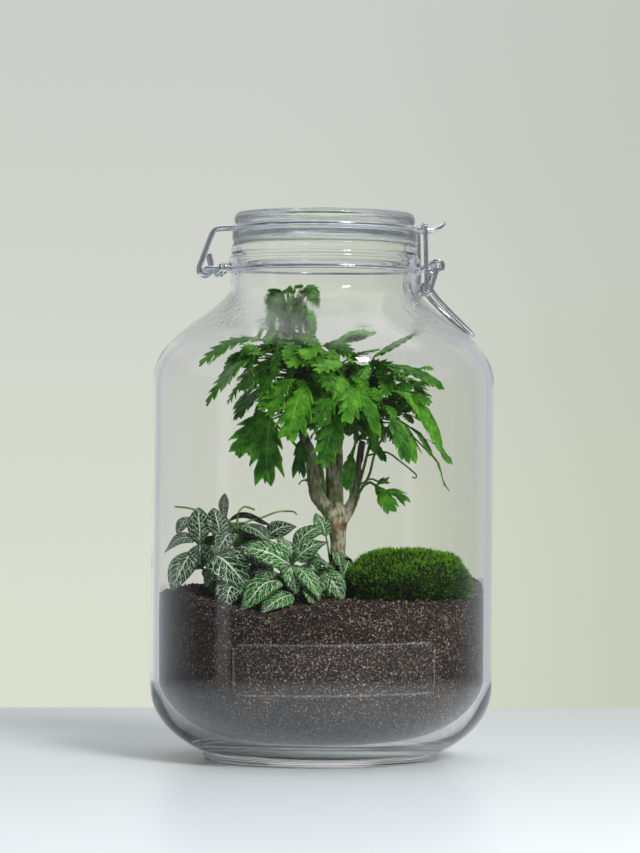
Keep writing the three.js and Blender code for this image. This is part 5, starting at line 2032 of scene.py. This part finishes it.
@dataclass
class MossCushion:
    """The moss: a core, dark with painted shade, thickly set with fine shoots."""

    x: float = 45.5
    y: float = -30.0
    half_width: float = 34.0
    half_depth: float = 27.0
    base: float = 86.7
    height: float = 27.5
    core: float = 0.95
    shoots: int = 10000
    lowest_shoot: float = 0.12
    length: Pair = (1.0, 3.4)
    girth: Pair = (0.35, 0.65)
    outline: tuple = (
        (0, 0), (0.86, 0), (0.97, 0.12), (1, 0.32), (0.93, 0.6), (0.74, 0.84), (0.42, 0.97), (0, 1),
    )

    def grown(self, flat: np.ndarray) -> np.ndarray:
        """Places in millimetres for places on a cushion of unit size."""
        return flat * self.lumps(flat)[:, None] * self.size() + np.array([self.x, self.y, self.base])

    def size(self) -> np.ndarray:
        """Half-width, half-depth and height of the core."""
        return np.array([self.half_width, self.half_depth, self.height]) * self.core

    def build(self) -> None:
        """Spins the core, sets it with shoots and dresses both as one piece."""
        core = spun("moss_core", smoothed_profile(self.outline, 5), 96, 80)
        rows = places(core.data) / MM
        put(core.data, self.grown(rows) * MM)
        # The core's tip value of 0 gives it the darkest painted shade
        add_tip(core.data, np.zeros(len(rows)))
        cushion = turn_in(joined([core, self.shoot_mesh()], "moss_tuft"))
        MossGreen("moss_green").put_on(cushion)
        finished(cushion, Body.JAR, ["moss_cushion"])

    @staticmethod
    def lumps(rows: np.ndarray) -> np.ndarray:
        """How far the cushion swells at its unit places.

        Args:
            rows: The places.

        Returns:
            One factor for each place, about 1.
        """
        return np.array([
            0.985 + 0.05 * noise.noise(Vector(row) * 2.7) + 0.03 * noise.noise(Vector(row) * 8.0)
            for row in rows
        ])

    def shoot_mesh(self) -> Object:
        """Makes the shoots: small three-sided spikes, evenly spread and leaning outward and up.

        Returns:
            The shoots, as one object.
        """
        rng = np.random.default_rng(SEED + 1)
        outline = np.array(smoothed_profile(self.outline, 8))
        stretch = np.hypot(*np.diff(outline, axis=0).T) * (outline[:-1, 0] + outline[1:, 0])
        total = np.concatenate([[0], np.cumsum(stretch)]) / stretch.sum()
        share = (np.arange(self.shoots) + rng.random(self.shoots)) / self.shoots
        share = self.lowest_shoot + (1 - self.lowest_shoot) * share
        radius = np.interp(share, total, outline[:, 0])
        height = np.interp(share, total, outline[:, 1])
        slope_r = np.interp(share + 0.004, total, outline[:, 0]) - radius
        slope_z = np.interp(share + 0.004, total, outline[:, 1]) - height
        turn = np.arange(self.shoots) * GOLDEN_TURN
        unit = np.stack([np.cos(turn), np.sin(turn)], 1)
        root = self.grown(np.stack([unit[:, 0] * radius, unit[:, 1] * radius, height], 1))
        out = np.stack([unit[:, 0] * slope_z, unit[:, 1] * slope_z, -slope_r], 1) / self.size()
        out /= np.maximum(np.linalg.norm(out, axis=1), 1e-9)[:, None]
        lean = out * 0.8 + np.array([0, 0, 0.35]) + rng.normal(0, 0.3, out.shape)
        lean /= np.linalg.norm(lean, axis=1)[:, None]
        length = rng.uniform(*self.length, self.shoots)[:, None]
        girth = rng.uniform(*self.girth, self.shoots)[:, None]
        first = np.cross(lean, rng.normal(0, 1, out.shape))
        first /= np.linalg.norm(first, axis=1)[:, None]
        second = np.cross(lean, first)
        base = root - out * 0.3
        thirds = np.radians((0, 120, 240))
        corners = [base + girth * (first * math.cos(a) + second * math.sin(a)) for a in thirds]
        corners.append(base + lean * length)
        rows = np.stack(corners, 1).reshape(-1, 3) * MM
        starts = np.arange(self.shoots)[:, None, None] * 4
        faces = (starts + np.array([[0, 1, 3], [1, 2, 3], [2, 0, 3], [0, 2, 1]])).reshape(-1, 3)
        mesh = bpy.data.meshes.new("moss_shoots")
        mesh.from_pydata(rows.tolist(), [], faces.tolist())
        # Low tip values at the shoots' feet carry the painted shade between them
        reach = rng.random(self.shoots)[:, None] * np.array([[0.2, 0.2, 0.2, 0.8]])
        add_tip(mesh, (reach + np.array([[0.0, 0.0, 0.0, 0.2]])).ravel())
        return linked("moss_shoots", mesh)


@dataclass
class Studio:
    """The table, the backdrop, the lamps and the camera."""

    distance: float = 1.769
    eye_height: float = 0.161
    focal: float = 138.35
    sensor: float = 36.0
    pitch: float = math.radians(0.568)
    yaw_left: float = math.radians(0.052)
    roll: float = math.radians(0.49)
    table_back: float = 0.357
    table_radius: float = 0.66
    board: float = 0.03
    wall_back: float = 2.6
    wall_size: Pair = (1.9, 2.5)
    wall_middle: Pair = (0.1, 0.69)
    front_level: Pair = (0.1, 0.06)
    back_level: Pair = (0.8, 0.55)
    aim_height: float = 0.14
    bounces: int = 24
    mirror_bounces: int = 16

    def camera(self) -> None:
        """Sets the camera where the jar was seen from."""
        data = bpy.data.cameras.new("camera")
        data.lens = self.focal
        data.sensor_width = self.sensor
        camera = linked("camera", data)
        bpy.context.scene.camera = camera
        turn = -PLANTING_TURN - self.yaw_left
        flat = math.cos(self.pitch)
        forward = Vector((math.sin(turn) * flat, math.cos(turn) * flat, math.sin(self.pitch)))
        level = forward.cross(Vector((0, 0, 1))).normalized()
        up = level.cross(forward)
        right = level * math.cos(self.roll) + up * math.sin(self.roll)
        above = up * math.cos(self.roll) - level * math.sin(self.roll)
        place = Vector((math.sin(PLANTING_TURN), -math.cos(PLANTING_TURN), 0)) * self.distance
        place.z = self.eye_height
        axes = Matrix((right, above, -forward)).transposed()
        camera.matrix_world = Matrix.Translation(place) @ axes.to_4x4()

    def table(self) -> None:
        """Lays the table: a thick pale board, round in front, with a straight soft back edge."""
        bpy.ops.mesh.primitive_cylinder_add(vertices=128, radius=self.table_radius, depth=1)
        board = bpy.context.object
        board.name = "table"
        rows = places(board.data)
        rows[:, 1] = np.minimum(rows[:, 1], self.table_back)
        rows[:, 2] = np.where(rows[:, 2] > 0, 0, -self.board)
        put(board.data, rows)
        apply_modifier(board, "BEVEL", width=0.004, segments=4)
        smooth(board, 40)
        PaleTable().put_on(board)

    def backdrop(self) -> None:
        """Stands the backdrop behind the table."""
        bpy.ops.mesh.primitive_plane_add(size=1)
        wall = bpy.context.object
        wall.name = "backdrop"
        rows = places(wall.data)
        (width, height), (x, z) = self.wall_size, self.wall_middle
        across, up = rows[:, 0] * width + x, rows[:, 1] * height + z
        put(wall.data, np.stack([across, np.full(4, self.wall_back), up], 1))
        BackdropPaper().put_on(wall)

    def lamp(
        self, name: str, place: Point, size: Pair, power: float, colour: Point, seen: bool = True
    ) -> None:
        """Hangs a soft lamp that shines at the jar.

        Args:
            name: The lamp's name.
            place: Where it is, in metres.
            size: Its width and height.
            power: Its power in watts.
            colour: Its colour.
            seen: Whether glass and metal reflect it.
        """
        data = bpy.data.lights.new(name, "AREA")
        data.shape = "RECTANGLE"
        data.size, data.size_y = size
        data.energy = power
        data.color = colour
        lamp = linked(name, data)
        lamp.visible_glossy = seen
        lamp.visible_transmission = seen
        aim = Vector((0, 0, self.aim_height)) - Vector(place)
        lamp.matrix_world = Matrix.Translation(place) @ aim.to_track_quat("-Z", "Y").to_matrix().to_4x4()

    def world(self) -> None:
        """Fills the room with soft light, pale to look at. Mirrored, it is brighter behind the jar."""
        world = bpy.data.worlds.new("room")
        world.use_nodes = True
        recipe = Recipe(world.node_tree)
        way = recipe.add("SeparateXYZ", {0: recipe.add("TexCoord").outputs["Generated"]}).outputs[1]
        (front, dim), (back, bright) = self.front_level, self.back_level
        level = recipe.add("MapRange", {0: way, 1: front, 2: back, 3: dim, 4: bright}).outputs[0]
        path = recipe.add("LightPath").outputs
        # The depth counts one more where a ray ends in the world, so up to 1.5 it was never mirrored
        straight = recipe.math("LESS_THAN", recipe.minus(path["Ray Depth"], path["Transmission Depth"]), 1.5)
        seen = recipe.larger(path["Is Camera Ray"], recipe.times(path["Is Transmission Ray"], straight))
        light = recipe.add("Background", {"Color": (0.86, 0.9, 0.96, 1), "Strength": level})
        pale = recipe.add("Background", {"Color": (0.57, 0.59, 0.545, 1)})
        recipe.add("OutputWorld", {"Surface": recipe.mixed(seen, light, pale).outputs[0]})
        bpy.context.scene.world = world

    def build(self) -> None:
        """Sets up the whole studio."""
        self.camera()
        self.world()
        self.table()
        self.backdrop()
        self.lamp("panel", (0.15, 0.2, 1.5), (1.5, 1.1), 4, (1.0, 1.0, 1.0))
        self.lamp("top", (0.15, 0.15, 1.45), (1.2, 1.0), 4, (1.0, 1.0, 1.0), seen=False)
        self.lamp("key", (0.65, -1.13, 1.23), (0.5, 0.5), 17, (1.0, 0.98, 0.95), seen=False)
        self.lamp("glint", (0.5, -1.06, 1.24), (0.2, 0.26), 5, (1.0, 0.98, 0.95))
        self.lamp("front_right", (1.0, -1.4, 0.5), (1.0, 0.8), 13, (1.0, 0.99, 0.97), seen=False)
        self.lamp("front_left", (-1.25, -1.1, 0.5), (1.0, 0.8), 5, (0.96, 0.98, 1.0), seen=False)
        self.lamp("strip", (-1.5, -0.45, 0.45), (0.3, 1.2), 0.5, (0.95, 0.98, 1.0))
        paths = bpy.context.scene.cycles
        paths.max_bounces = paths.transmission_bounces = self.bounces
        paths.glossy_bounces = paths.transparent_max_bounces = self.mirror_bounces
        bpy.context.scene.view_settings.view_transform = "Standard"


def main() -> None:
    """Builds the studio and every piece, in order from the jar to the moss."""
    logging.basicConfig(level=logging.INFO, format="%(name)s %(message)s")
    deselect()
    Studio().build()
    jar = JarGlass()
    jar.build()
    lid = Lid()
    lid.build()
    lid.seal()
    WireClosure().build()
    FilmLabel().build()
    SoilBed().build(jar.corner())
    Trunk().build()
    Tree().build()
    NervePlants().build()
    MossCushion().build()


if __name__ == "__main__":
    main()
